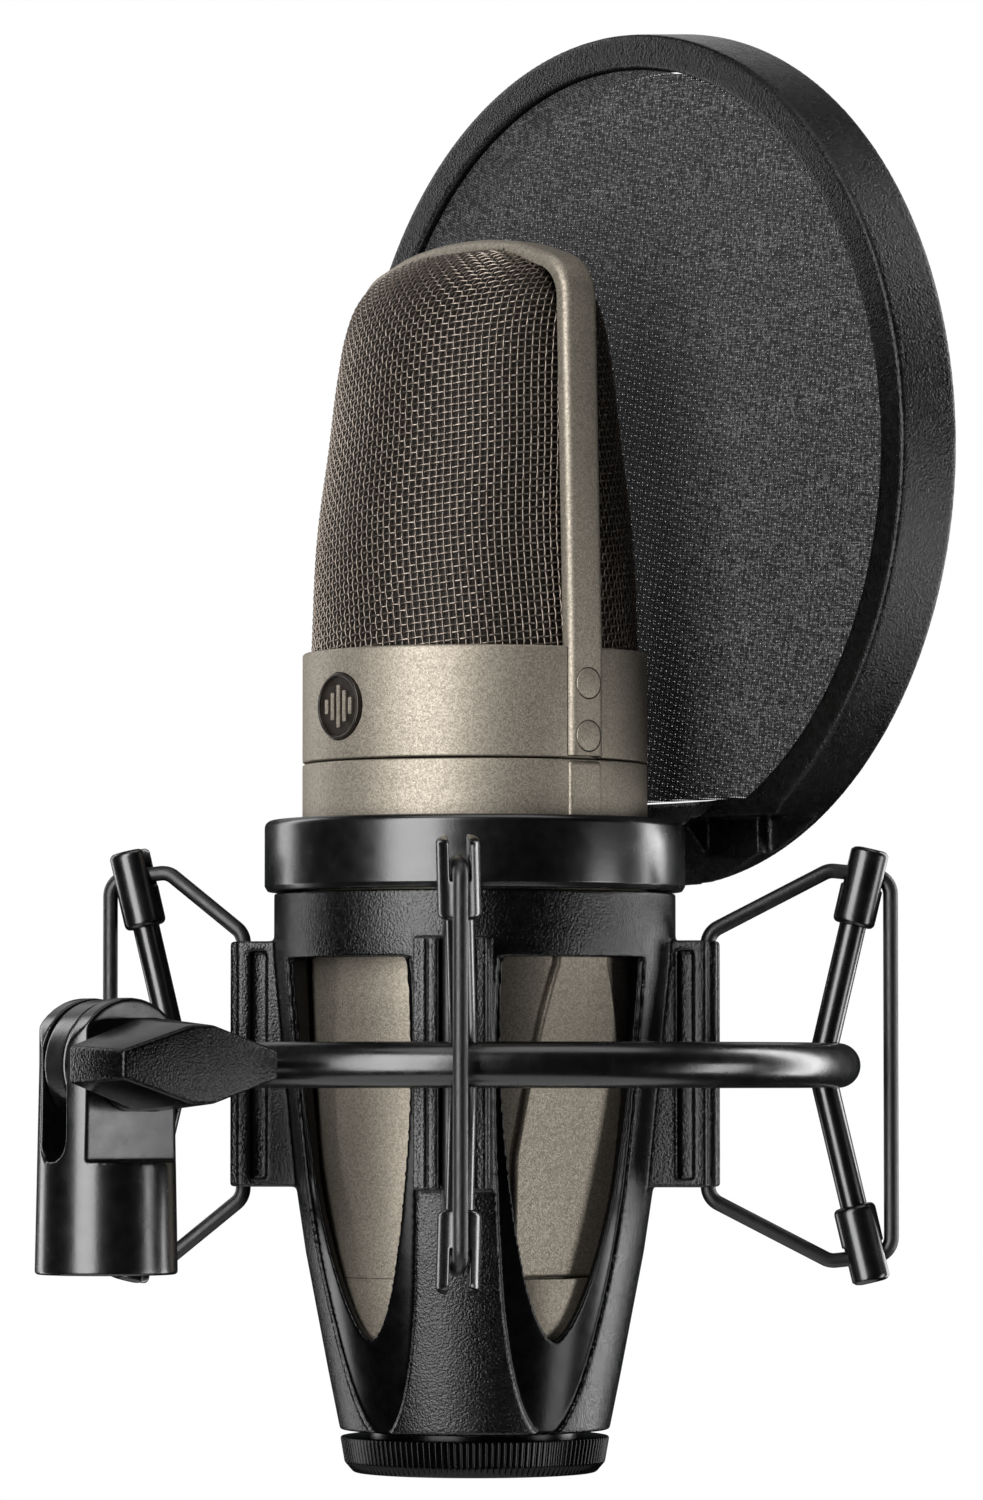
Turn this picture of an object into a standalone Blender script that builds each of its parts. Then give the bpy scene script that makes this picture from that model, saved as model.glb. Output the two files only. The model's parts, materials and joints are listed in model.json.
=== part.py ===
"""Side-address condenser microphone in a ring shock mount, with a round pop filter.

The row's origin is the centre of the stand socket's mouth. +Z is up, +Y is away from
the pop filter and X is the axis of the swivel. Lengths in this file are millimetres,
and link() turns them into metres when it makes an object.
"""

import math

import bmesh
import bpy
from mathutils import Matrix, Vector

MM = 0.001
GAP = 0.3  # between pieces that touch
STEPS = 48  # flats around a large round piece
SMALL_STEPS = 16  # flats around a pin or a bore
FAR = 60.0  # past the edge of whatever a cutter goes through
PAST = 1.0  # how far a cutter stands past a face that it only just crosses

# Stand adapter and swivel
SWIVEL_Z = 31.3  # height of the swivel's axis above the socket's mouth
ADAPTER_FOOT_R = 10.7
ADAPTER_TOP_R = 10.1
CROWN_R = 10.0  # rounded top of the fork, about the swivel
SOCKET_R = 9.3
SOCKET_DEPTH = 14.5
INSERT_BORE_R = 7.6  # clears a 5/8 inch stand thread
INSERT_FOOT_Z = 0.8
FORK_HALF_SLOT = 3.0
FORK_FLOOR_Z = 16.8
FORK_FLAT_X = 6.2
BOLT_R = 2.5
BOLT_BORE_R = BOLT_R + GAP
BOLT_END_X = -9.5
BOLT_HEAD_R = 4.5
BOLT_HEAD = 2.5
HEX_SOCKET_R = 1.9
HEX_SOCKET_DEPTH = 1.5
TAB_R = 9.75
TAB_HALF = 2.7
WASHER_R = 6.0
WASHER_SEAT = 0.75

# Wing knob: half-heights and half-lengths at its base and at its outer face
KNOB_BASE_X = 10.7
KNOB_FACE_X = 24.3
KNOB_BASE = {"flat": 2.4, "middle": 6.9, "half": 14.7, "end": 2.7}
KNOB_FACE = {"flat": 2.0, "middle": 5.8, "half": 14.2, "end": 2.1}
KNOB_HUB_R = 7.0
KNOB_NUT_R = 4.0
KNOB_NUT_X = (-12.5, -7.0)

# Ring, posts and bands
AXIS_TO_SWIVEL = 70.9  # microphone's axis to the swivel's axis, along Y
RING_OFFSET = 4.6  # the ring's centre is this far in front of the microphone's axis
RING_R = 53.3
RING_TUBE_R = 3.5
POST_FOOT_R = 50.6
POST_LEAN = math.radians(13.2)
POST_AZIMUTHS = (45, 135, 225, 315)
ROD_R = 2.1
ROD_LENGTHS = (1.5, 27.0)
CAP_R = 3.3
CAP_LENGTHS = (22.4, 34.7)
CAP_SLOT_FLOOR = 28.6
BAND_R = 1.175
BAND_EAR_R = 36.5
BAND_CAP_R = 57.5  # where a band crosses its caps, about the ring's centre
BAND_PAST_CAP = 4.1
BAND_EAR_RISE = 20.6  # heights above the ring's plane
BAND_SHOULDER_RISE = 30.4
BAND_OUTER_RISE = 29.4
BAND_SHOULDER_BACK = 9.6
BAND_CORNER_R = 3.0

# Cradle, in heights above the base nut's underside
RING_Z = 63.2
NUT_BORE_R = 13.4
CRADLE_OUTSIDE = (
    (21.0, 6.6), (22.8, 15.5), (24.6, 24.9), (26.4, 34.3), (27.8, 43.7),
    (31.2, 79.0), (31.4, 83.0), (31.4, 90.0),
)
CRADLE_WALL = 2.0  # below the rim, whose inside narrows to CRADLE_THROAT
CRADLE_THROAT = (27.7, 79.0)
CRADLE_LIP = ((27.4, 90.0), (27.4, 86.0))
CRADLE_FLANGE = ((19.3, 8.4), (NUT_BORE_R, 8.4), (NUT_BORE_R, 6.6))
WINDOW = {"half": 12.3, "foot": 21.0, "top": 79.7, "power": 0.6}
WINDOW_TURN = math.radians(7)  # each window stands this much towards the nearer narrow pillar
EAR_HALF = 5.65
EAR_R = 38.2
EAR_FOOT_R = (27.0, 30.0)  # inside the cradle's wall, at the foot and at the top
EAR_GROOVE_R = 34.6
EAR_Z = (44.3, 82.6)

# Microphone body
HOUSING_OUTSIDE = ((22.9, 30.5), (25.05, 49.0), (26.2, 79.0), (26.9, 90.0), (27.0, 101.0), (27.0, 110.1))
BODY_R = 27.0
BODY_BORE_R = 21.5
BAND_Z = (110.4, 127.5)
ARCH_HALF = 3.3
ARCH_THICK = 2.4
ARCH_CORNER_R = 8.0
ARCH_OUTSIDE = ((27.8, 110.7), (27.8, 127.5), (26.2, 187.2), (13.7, 191.2), (0.0, 192.8))
COVER_Z = (121.8, 113.7)
COVER_R = 2.35
BADGE_R = 5.15
BADGE_Z = 118.5
BADGE_SEAT_Y = 25.9
BADGE_Y = (26.2, 27.3)
GRILLE_LEVELS = (  # height, half-width along X, depth along Y
    (128.0, 25.3, 25.5), (147.0, 24.9, 24.1), (159.5, 24.4, 21.7), (172.0, 23.9, 19.4),
    (178.0, 23.6, 17.7), (183.0, 22.6, 15.2), (187.0, 19.4, 11.4), (189.4, 14.0, 7.6),
)
GRILLE_WALL = 0.9

# Inside the microphone
INLET_R = 9.3
INLET_Z = (9.5, 12.7)
PIN_CIRCLE_R = 5.0
PIN_R = 1.15
PIN_Z = (2.0, 14.0)
CAPSULE_Z = 160.0
CAPSULE_R = 15.5
CAPSULE_HALF = 2.6
DIAPHRAGM_R = 15.0
DIAPHRAGM_Y = (2.9, 3.3)
CLAMP_BORE_R = 13.0
CLAMP_Y = (3.6, 4.4)
STEM_R = 3.0
DECK_R = 21.0
DECK_Z = (123.5, 126.0)
BOARD = ((-0.8, -17.0, 45.0), (0.8, 17.0, 120.0))
TRANSFORMER = ((3.0, -10.0, 60.0), (15.0, 10.0, 84.0))

# Pop filter, about the centre of its rim
POP_Y = -34.15
POP_Z = 160.0
POP_LEAN = math.radians(-1.4)
POP_HALF = 5.35
POP_BACK_R = 67.7  # the face towards the microphone
POP_FRONT_R = 68.5
POP_OPENING_R = 62.4
POP_CHORD_Z = -55.0
POP_FOOT_R = 65.7  # of the fill below the chord
POP_FOOT_INSET = 0.15
POP_SLOPE_INSET = 0.4
POP_POCKETS = {"shallow": (13.0, 25.1, -1.4), "deep": (25.0, FAR, -3.8)}  # from, to and floor
POP_POCKET_LIP = 1.7
CLOTH_BACKS = {"back_pop_fabric": 4.0, "front_pop_fabric": -4.5}
CLOTH_THICK = 0.5
COLLAR_R = 32.9
COLLAR_BORE_R = 27.4
COLLAR_Z = (90.3, 101.4)
SADDLE = ((34.0, 100.6), (38.0, 105.0))  # the hollow in the rim's foot, round the collar
LATCH_HALF = 5.0
LATCH_Y = (-37.2, -30.0)
LATCH_Z = (93.6, 97.0)

MATERIALS = {
    "black_metal": ((0.012, 0.012, 0.013), 0.32, 1.0),
    "black_plastic": ((0.018, 0.018, 0.019), 0.5, 0.0),
    "cradle_plastic": ((0.02, 0.02, 0.021), 0.45, 0.0),
    "rubber": ((0.015, 0.015, 0.016), 0.45, 0.0),
    "champagne": ((0.36, 0.31, 0.24), 0.38, 0.9),
    "wire": ((0.22, 0.18, 0.15), 0.4, 1.0),
    "badge": ((0.04, 0.03, 0.025), 0.4, 0.6),
    "fabric": ((0.02, 0.02, 0.022), 0.9, 0.0),
    "brass": ((0.6, 0.42, 0.18), 0.35, 1.0),
    "steel": ((0.55, 0.55, 0.56), 0.3, 1.0),
    "gold": ((0.8, 0.6, 0.25), 0.25, 1.0),
    "board": ((0.03, 0.16, 0.07), 0.5, 0.0),
    "insulator": ((0.75, 0.73, 0.68), 0.5, 0.0),
}


# Frames and objects

def frame(name, parent=None, place=(0, 0, 0), turn=(0, 0, 0)):
    empty = bpy.data.objects.new(name, None)
    empty.empty_display_size = 0.01
    empty.parent = parent
    empty.location = Vector(place) * MM
    empty.rotation_euler = turn
    bpy.context.scene.collection.objects.link(empty)
    return empty


def finish_for(name, look):
    colour, roughness, metallic = MATERIALS[look]
    made = bpy.data.materials.new(name)
    made.use_nodes = True
    shader = made.node_tree.nodes["Principled BSDF"]
    shader.inputs["Base Color"].default_value = (*colour, 1)
    shader.inputs["Roughness"].default_value = roughness
    shader.inputs["Metallic"].default_value = metallic
    return made


def link(name, bm, look, parent=None, place=(0, 0, 0), turn=(0, 0, 0)):
    """Makes an object in metres from a bmesh in millimetres."""
    bmesh.ops.recalc_face_normals(bm, faces=bm.faces)
    if bm.calc_volume(signed=True) < 0:
        bmesh.ops.reverse_faces(bm, faces=bm.faces)
    bm.transform(Matrix.Scale(MM, 4))
    mesh = bpy.data.meshes.new(name)
    bm.to_mesh(mesh)
    bm.free()
    mesh.shade_smooth()
    mesh.set_sharp_from_angle(angle=math.radians(35))
    made = bpy.data.objects.new(name, mesh)
    made.parent = parent
    made.location = Vector(place) * MM
    made.rotation_euler = turn
    if look:
        mesh.materials.append(finish_for(name, look))
    bpy.context.scene.collection.objects.link(made)
    return made


def cutter(name, bm, parent=None, place=(0, 0, 0), turn=(0, 0, 0)):
    made = link(name, bm, None, parent, place, turn)
    made.hide_render = True
    made.display_type = "WIRE"
    return made


def combine(target, tool, operation="DIFFERENCE"):
    step = target.modifiers.new(tool.name, "BOOLEAN")
    step.operation = operation
    step.object = tool


def cut(target, name, bm, turn=(0, 0, 0)):
    """Cuts a shape given in the target's own frame."""
    tool = cutter(f"{target.name}_{name}", bm, target.parent, target.location / MM, turn)
    combine(target, tool)
    return tool


# Shapes, in millimetres

def turned(outline, steps=STEPS):
    """A solid turned about Z from a closed outline of (radius, height) points."""
    bm = bmesh.new()
    points = [bm.verts.new((r, 0, z)) for r, z in outline]
    edges = [bm.edges.new((points[i - 1], points[i])) for i in range(len(points))]
    bmesh.ops.spin(
        bm, geom=points + edges, axis=(0, 0, 1), cent=(0, 0, 0),
        angle=math.tau, steps=steps, use_merge=True,
    )
    bmesh.ops.remove_doubles(bm, verts=bm.verts, dist=1e-4)
    loose = [edge for edge in bm.edges if not edge.link_faces]
    bmesh.ops.delete(bm, geom=loose, context="EDGES")
    return bm


def along(bm, axis):
    """Lays a shape that stands on Z along X or Y instead."""
    turns = {"X": Matrix.Rotation(math.pi / 2, 4, "Y"), "Y": Matrix.Rotation(-math.pi / 2, 4, "X")}
    bm.transform(turns[axis])
    return bm


def prism(outline, low, high, axis="Z"):
    """Extrudes an outline along an axis: (y, z) for X, (x, z) for Y and (x, y) for Z."""
    place = {
        "X": lambda a, b: (low, a, b),
        "Y": lambda a, b: (a, low, b),
        "Z": lambda a, b: (a, b, low),
    }[axis]
    step = {"X": (high - low, 0, 0), "Y": (0, high - low, 0), "Z": (0, 0, high - low)}[axis]
    bm = bmesh.new()
    foot = bm.faces.new([bm.verts.new(place(a, b)) for a, b in outline])
    grown = bmesh.ops.extrude_face_region(bm, geom=[foot])["geom"]
    bmesh.ops.translate(bm, vec=step, verts=[v for v in grown if isinstance(v, bmesh.types.BMVert)])
    bmesh.ops.recalc_face_normals(bm, faces=bm.faces)
    return bm


def circle(radius, steps=SMALL_STEPS, a=0.0, b=0.0, start=0.0, sweep=math.tau):
    """Points on a circle, or on an arc with both of its ends."""
    last = steps if sweep == math.tau else steps - 1
    turns = [start + sweep * i / last for i in range(steps)]
    return [(a + radius * math.cos(t), b + radius * math.sin(t)) for t in turns]


def rod(radius, low, high, axis="Z", steps=SMALL_STEPS, a=0.0, b=0.0):
    return prism(circle(radius, steps, a, b), low, high, axis)


def block(low, high):
    (x0, y0, z0), (x1, y1, z1) = low, high
    return prism([(x0, y0), (x1, y0), (x1, y1), (x0, y1)], z0, z1)


def ring_tube(tube_r, steps=64, sides=12):
    return turned([(RING_R + a, b) for a, b in circle(tube_r, sides)], steps)


def arc_between(centre, first, last, radius, steps):
    """Points on the arc about a centre from one direction to another."""
    first, last = first.normalized(), last.normalized()
    return [centre + first.slerp(last, k / steps) * radius for k in range(steps + 1)]


def fillet(corners, radius, steps=4):
    """A closed path through corner points with an arc of this radius at each."""
    path = []
    for i, corner in enumerate(corners):
        back = (corners[i - 1] - corner).normalized()
        ahead = (corners[(i + 1) % len(corners)] - corner).normalized()
        half = back.angle(ahead) / 2
        centre = corner + (back + ahead).normalized() * radius / math.sin(half)
        first = corner + back * radius / math.tan(half) - centre
        last = corner + ahead * radius / math.tan(half) - centre
        path += arc_between(centre, first, last, radius, steps)
    return path


def grid_shell(outer, inner):
    """A closed shell between two grids of points with the same rows and columns."""
    bm = bmesh.new()
    skins = [[[bm.verts.new(p) for p in row] for row in grid] for grid in (outer, inner)]
    rows, columns = len(outer), len(outer[0])
    for skin in skins:
        for i in range(rows - 1):
            for k in range(columns - 1):
                bm.faces.new((skin[i][k], skin[i][k + 1], skin[i + 1][k + 1], skin[i + 1][k]))
    out, inn = skins
    for i in range(rows - 1):
        for k in (0, columns - 1):
            bm.faces.new((out[i][k], out[i + 1][k], inn[i + 1][k], inn[i][k]))
    for k in range(columns - 1):
        for i in (0, rows - 1):
            bm.faces.new((out[i][k], out[i][k + 1], inn[i][k + 1], inn[i][k]))
    return bm


# Stand adapter, swivel and knob

def stand_adapter():
    top = SWIVEL_Z + ADAPTER_TOP_R + PAST
    body = turned([
        (SOCKET_R, 0), (ADAPTER_FOOT_R, 0), (ADAPTER_TOP_R, SWIVEL_Z), (ADAPTER_TOP_R, top),
        (0, top), (0, SOCKET_DEPTH), (SOCKET_R, SOCKET_DEPTH),
    ])
    made = link("stand_adapter", body, "black_metal")
    crown = [(-FAR, -PAST), (FAR, -PAST), (FAR, FORK_FLOOR_Z + PAST), (CROWN_R, SWIVEL_Z)]
    crown += circle(CROWN_R, 17, 0, SWIVEL_Z, 0, math.pi)[1:-1]
    crown += [(-CROWN_R, SWIVEL_Z), (-FAR, FORK_FLOOR_Z + PAST)]
    tool = cutter("stand_adapter_crown", prism(crown, -FAR, FAR, "X"))
    combine(made, tool, "INTERSECT")
    floor = circle(FORK_HALF_SLOT, 9, 0, FORK_FLOOR_Z + FORK_HALF_SLOT, math.pi, math.pi)
    slot = [(-FORK_HALF_SLOT, top + PAST), *floor, (FORK_HALF_SLOT, top + PAST)]
    cut(made, "slot", prism(slot, -FAR, FAR, "Y"))
    for name, low, high in (("left_flat", -FAR, -FORK_FLAT_X), ("right_flat", FORK_FLAT_X, FAR)):
        cut(made, name, block((low, -FAR, FORK_FLOOR_Z), (high, FAR, top + PAST)))
    cut(made, "bolt_bore", rod(BOLT_BORE_R, -FAR, FAR, "X", b=SWIVEL_Z))


def thread_insert():
    low, high, radius = INSERT_FOOT_Z, SOCKET_DEPTH - GAP, SOCKET_R - GAP
    outline = [(INSERT_BORE_R, low), (radius, low), (radius, high), (INSERT_BORE_R, high)]
    link("thread_insert", turned(outline, 32), "brass")


def swivel_bolt(axis):
    head = FORK_FLAT_X + GAP
    end = head + BOLT_HEAD
    outline = [
        (0, BOLT_END_X), (BOLT_R, BOLT_END_X), (BOLT_R, head), (BOLT_HEAD_R, head), (BOLT_HEAD_R, end), (0, end),
    ]
    made = link("swivel_bolt", along(turned(outline, SMALL_STEPS), "X"), "steel", axis)
    cut(made, "hex_socket", rod(HEX_SOCKET_R, end - HEX_SOCKET_DEPTH, end + PAST, "X", 6))
    for name, side in (("friction_washer_left", -1), ("friction_washer_right", 1)):
        near, far = sorted((side * (TAB_HALF - WASHER_SEAT + GAP), side * TAB_HALF))
        ring = [(BOLT_BORE_R, near), (WASHER_R, near), (WASHER_R, far), (BOLT_BORE_R, far)]
        link(name, along(turned(ring, 24), "X"), "insulator", axis)


def wing_outline(size):
    """Eight corners of the wing, seen along its axis."""
    flat, middle, half, end = size["flat"], size["middle"], size["half"], size["end"]
    upper = [(half, end), (flat, middle), (-flat, middle), (-half, end)]
    return upper + [(-a, -b) for a, b in upper]


def wing_knob(axis):
    bm = bmesh.new()
    rings = [
        [bm.verts.new((-x, a, b)) for a, b in wing_outline(size)]
        for x, size in ((KNOB_BASE_X, KNOB_BASE), (KNOB_FACE_X, KNOB_FACE))
    ]
    for ring in rings:
        bm.faces.new(ring)
    for i in range(8):
        bm.faces.new((rings[0][i - 1], rings[0][i], rings[1][i], rings[1][i - 1]))
    made = link("wing_knob", bm, "black_plastic", axis)
    hub = rod(KNOB_HUB_R, -KNOB_BASE_X - PAST, -FORK_FLAT_X - GAP, "X", 24)
    combine(made, cutter("wing_knob_hub", hub, axis), "UNION")
    low, high = KNOB_NUT_X
    cut(made, "nut_bore", rod(KNOB_NUT_R + GAP, low - GAP, 0, "X"))
    nut = [(BOLT_BORE_R, low), (KNOB_NUT_R, low), (KNOB_NUT_R, high), (BOLT_BORE_R, high)]
    link("knob_nut", along(turned(nut, SMALL_STEPS), "X"), "brass", axis)


# Ring, posts and bands

def ring_and_tab(axis, centre):
    link("ring_hoop", ring_tube(RING_TUBE_R), "black_metal", centre)
    clearance = cutter("ring_clearance", ring_tube(RING_TUBE_R + GAP), centre)
    disc = rod(TAB_R, -TAB_HALF, TAB_HALF, "X", 32)
    made = link("hinge_tab", disc, "black_metal", axis)
    ring_y = RING_R - AXIS_TO_SWIVEL - RING_OFFSET
    neck = block((-TAB_HALF, ring_y + PAST, -RING_TUBE_R), (TAB_HALF, -TAB_R / 2, RING_TUBE_R))
    combine(made, cutter("hinge_tab_neck", neck, axis), "UNION")
    combine(made, clearance)
    cut(made, "bolt_bore", rod(BOLT_BORE_R, -FAR, FAR, "X"))
    for name, side in (("left_seat", -1), ("right_seat", 1)):
        near, far = sorted((side * (TAB_HALF - WASHER_SEAT), side * FAR))
        cut(made, name, rod(WASHER_R + GAP, near, far, "X", 24))
    return clearance


def band_ends(azimuth):
    """Where a band's inner run and outer run stand, about the microphone's axis."""
    ray = Vector((math.cos(math.radians(azimuth)), math.sin(math.radians(azimuth))))
    inner, cap = ray * BAND_EAR_R, ray * BAND_CAP_R - Vector((0, RING_OFFSET))
    return inner, cap + (cap - inner).normalized() * BAND_PAST_CAP


def post(number, azimuth, up, centre, clearance):
    """A leaning rod welded to the ring, and the slotted cap on its end."""
    name = f"{'upper' if up else 'lower'}_{{}}_{number}"
    turn = (0, POST_LEAN if up else math.pi - POST_LEAN, math.radians(azimuth))
    ray = Vector((math.cos(turn[2]), math.sin(turn[2]), 0))
    place = ray * POST_FOOT_R
    bar = rod(ROD_R, *ROD_LENGTHS, steps=12)
    made = link(name.format("rod"), bar, "black_metal", centre, place, turn)
    combine(made, clearance)
    inner, outer = band_ends(azimuth)
    skew = math.radians(azimuth) - math.atan2(*reversed(outer - inner))
    cap = link(name.format("cap"), rod(CAP_R, *CAP_LENGTHS), "black_metal", centre, place, turn)
    cut(cap, "bore", rod(ROD_R + GAP, 0, ROD_LENGTHS[1] + GAP, steps=12), turn)
    half = BAND_R + GAP
    slot = block((-CAP_R - PAST, -half, CAP_SLOT_FLOOR), (CAP_R + PAST, half, FAR))
    slot.transform(Matrix.Rotation(-skew if up else skew, 4, "Z"))
    cut(cap, "slot", slot, turn)


def band(number, azimuth, axis):
    """A closed elastic loop through two caps and the ear of the cradle."""
    inner, outer = band_ends(azimuth)
    shoulder = outer + (inner - outer).normalized() * BAND_SHOULDER_BACK
    half = [(inner, BAND_EAR_RISE), (shoulder, BAND_SHOULDER_RISE), (outer, BAND_OUTER_RISE)]
    corners = [Vector((*place, RING_Z + rise)) for place, rise in half]
    corners += [Vector((*place, RING_Z - rise)) for place, rise in reversed(half)]
    path = fillet(corners, BAND_CORNER_R)
    curve = bpy.data.curves.new(f"elastic_band_{number}", "CURVE")
    curve.dimensions = "3D"
    curve.bevel_depth = BAND_R * MM
    curve.bevel_resolution = 2
    spline = curve.splines.new("POLY")
    spline.points.add(len(path) - 1)
    for point, place in zip(spline.points, path):
        point.co = (*(place * MM), 1)
    spline.use_cyclic_u = True
    curve.materials.append(finish_for(curve.name, "rubber"))
    made = bpy.data.objects.new(curve.name, curve)
    made.parent = axis
    bpy.context.scene.collection.objects.link(made)


# Cradle and base nut

def window_outline(steps=14):
    """Straight across the top, and narrowing to a rounded point at the foot."""
    tall = WINDOW["top"] - WINDOW["foot"]
    side = []
    for i in range(1, steps + 1):
        t = (i / steps) ** 1.6
        half = WINDOW["half"] * (1 - (1 - t) ** 2) ** WINDOW["power"]
        side.append((half, WINDOW["foot"] + tall * t))
    return [(0, WINDOW["foot"]), *side, *((-a, b) for a, b in reversed(side))]


def cradle(axis):
    inside = [CRADLE_THROAT, *((r - CRADLE_WALL, z) for r, z in reversed(CRADLE_OUTSIDE[1:5]))]
    outline = [*CRADLE_OUTSIDE, *CRADLE_LIP, *inside, *CRADLE_FLANGE]
    made = link("cradle", turned(outline), "cradle_plastic", axis)
    for azimuth in POST_AZIMUTHS:
        low, high = EAR_Z
        side = [(EAR_FOOT_R[0], low), (EAR_R, low), (EAR_R, high), (EAR_FOOT_R[1], high)]
        turn = (0, 0, math.radians(azimuth))
        ear = cutter(f"cradle_ear_{azimuth}", prism(side, -EAR_HALF, EAR_HALF, "Y"), axis, turn=turn)
        combine(made, ear, "UNION")
        half = BAND_R + GAP
        cut(made, f"groove_{azimuth}", block((EAR_GROOVE_R, -half, 0), (FAR, half, FAR * 2)), turn)
    cut(made, "side_windows", prism(window_outline(), -FAR, FAR, "X"), (0, 0, -WINDOW_TURN))
    cut(made, "front_windows", prism(window_outline(), -FAR, FAR, "Y"), (0, 0, WINDOW_TURN))


def base_nut(axis):
    outline = [
        (NUT_BORE_R, 0), (18.9, 0), (20.3, 1.6), (21.0, 5.6), (17.0, 5.6), (17.0, 6.3), (NUT_BORE_R, 6.3),
    ]
    link("base_nut", turned(outline), "black_plastic", axis)


# Microphone

def tail_cup(axis):
    outline = [
        (9.6, 0.8), (13.0, 0.8), (13.0, 8.7), (18.4, 8.7), (19.5, 12.0), (22.0, 24.0), (22.85, 30.2),
        (21.3, 30.2), (20.4, 24.0), (18.0, 13.0), (9.6, 13.0),
    ]
    link("tail_cup", turned(outline), "champagne", axis)


def signal_inlet(axis):
    made = link("inlet_insert", rod(INLET_R, *INLET_Z, steps=32), "black_plastic", axis)
    for number, azimuth in enumerate((90, 210, 330), 1):
        turn = math.radians(azimuth)
        a, b = PIN_CIRCLE_R * math.cos(turn), PIN_CIRCLE_R * math.sin(turn)
        cut(made, f"pin_{number}", rod(PIN_R + GAP, 0, FAR, steps=12, a=a, b=b))
        link(f"inlet_pin_{number}", rod(PIN_R, *PIN_Z, steps=12, a=a, b=b), "gold", axis)


def lower_housing(axis):
    """The tapering body, with a sloping flat down each side."""
    inside = [(BODY_BORE_R, 110.1), (BODY_BORE_R, 60.0), (19.0, 50.0), (19.0, 30.5)]
    made = link("lower_housing", turned([*HOUSING_OUTSIDE, *inside]), "champagne", axis)
    flat = [(26.8, 112.0), (26.8, 101.0), (25.7, 79.0), (22.5, 49.0), (20.5, 29.0), (FAR, 29.0), (FAR, 112.0)]
    cut(made, "left_flat", prism([(-x, z) for x, z in flat], -FAR, FAR, "Y"))
    cut(made, "right_flat", prism(flat, -FAR, FAR, "Y"))


def grille_band(axis):
    low, high = BAND_Z
    outline = [(BODY_BORE_R, low), (BODY_R, low), (BODY_R, high), (BODY_BORE_R, high)]
    made = link("grille_band", turned(outline), "champagne", axis)
    inner, half = ARCH_OUTSIDE[0][0] - ARCH_THICK - GAP, ARCH_HALF + GAP
    cut(made, "left_notch", block((-FAR, -half, low - PAST), (-inner, half, high + PAST)))
    cut(made, "right_notch", block((inner, -half, low - PAST), (FAR, half, high + PAST)))
    cut(made, "badge_seat", rod(BADGE_R + GAP, BADGE_SEAT_Y, FAR, "Y", 24, b=BADGE_Z))
    link("badge", rod(BADGE_R, *BADGE_Y, "Y", 24, b=BADGE_Z), "badge", axis)


def arch_side(inset):
    """The arch's outline from the foot of one leg to the crown, moved in by inset."""
    corner = [Vector(p) for p in ARCH_OUTSIDE]
    foot, hip, shoulder, brow, crown = corner
    back, ahead = (hip - shoulder).normalized(), (brow - shoulder).normalized()
    half = back.angle(ahead) / 2
    centre = shoulder + (back + ahead).normalized() * ARCH_CORNER_R / math.sin(half)
    outward = Vector((ahead[1], -ahead[0]))
    arc = arc_between(centre, Vector((1, 0)), outward, ARCH_CORNER_R - inset, 6)
    inward = Vector((-inset, 0))
    return [foot + inward, hip + inward, *arc, brow + Vector((-inset / 3, -inset)), crown + Vector((0, -inset))]


def arch_frame(axis):
    outer, inner = arch_side(0), arch_side(ARCH_THICK)
    mirror = [Vector((-p[0], p[1])) for p in outer[-2::-1]]
    inner_mirror = [Vector((-p[0], p[1])) for p in inner]
    outline = [*outer, *mirror, *inner_mirror, *inner[-2::-1]]
    strip = prism([tuple(p) for p in outline], -ARCH_HALF, ARCH_HALF, "Y")
    made = link("arch_frame", strip, "champagne", axis)
    face = ARCH_OUTSIDE[0][0]
    for name, side in (("left", -1), ("right", 1)):
        for row, height in (("upper", COVER_Z[0]), ("lower", COVER_Z[1])):
            seat = sorted((side * (face - 0.8), side * FAR))
            cut(made, f"{name}_{row}_seat", rod(COVER_R + GAP, *seat, "X", b=height))
            ends = sorted((side * (face - 0.5), side * (face + 0.2)))
            link(f"{name}_{row}_screw_cover", rod(COVER_R, *ends, "X", b=height), "champagne", axis)


def grille_rows(inset, steps=12):
    """Half-ellipses of a grille half, from its rim to the line where its top closes."""
    rows = []
    for z, wide, deep in GRILLE_LEVELS:
        a, b = wide - inset, deep - inset
        start = math.asin((ARCH_HALF + GAP) / b)
        turns = [start + (math.pi - 2 * start) * k / steps for k in range(steps + 1)]
        top = z - inset * (z > 180)
        rows.append([(a * math.cos(t), b * math.sin(t), top) for t in turns])
    crown = GRILLE_LEVELS[-1][0] + 0.6 - inset
    rows.append([(x * 0.9, ARCH_HALF + GAP, crown) for x, _, _ in rows[-1]])
    return rows


def grilles(axis):
    for name, turn in (("rear_grille", 0.0), ("front_grille", math.pi)):
        shell = grid_shell(grille_rows(0.0), grille_rows(GRILLE_WALL))
        link(name, shell, "wire", axis, turn=(0, 0, turn))


def capsule(axis):
    centre = frame("capsule_centre", axis, (0, 0, CAPSULE_Z))
    link("capsule_body", rod(CAPSULE_R, -CAPSULE_HALF, CAPSULE_HALF, "Y", 32), "brass", centre)
    for name, side in (("front", -1), ("rear", 1)):
        faces = sorted(side * y for y in DIAPHRAGM_Y)
        link(f"{name}_diaphragm", rod(DIAPHRAGM_R, *faces, "Y", 32), "gold", centre)
        near, far = sorted(side * y for y in CLAMP_Y)
        clamp = [(CLAMP_BORE_R, near), (CAPSULE_R, near), (CAPSULE_R, far), (CLAMP_BORE_R, far)]
        link(f"{name}_clamp_ring", along(turned(clamp, 32), "Y"), "brass", centre)
    link("capsule_stem", rod(STEM_R, DECK_Z[1] + GAP, CAPSULE_Z - CAPSULE_R - GAP), "insulator", axis)
    link("insulating_deck", rod(DECK_R, *DECK_Z, steps=32), "insulator", axis)


def electronics(axis):
    link("circuit_board", block(*BOARD), "board", axis)
    link("output_transformer", block(*TRANSFORMER), "steel", axis)


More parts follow.
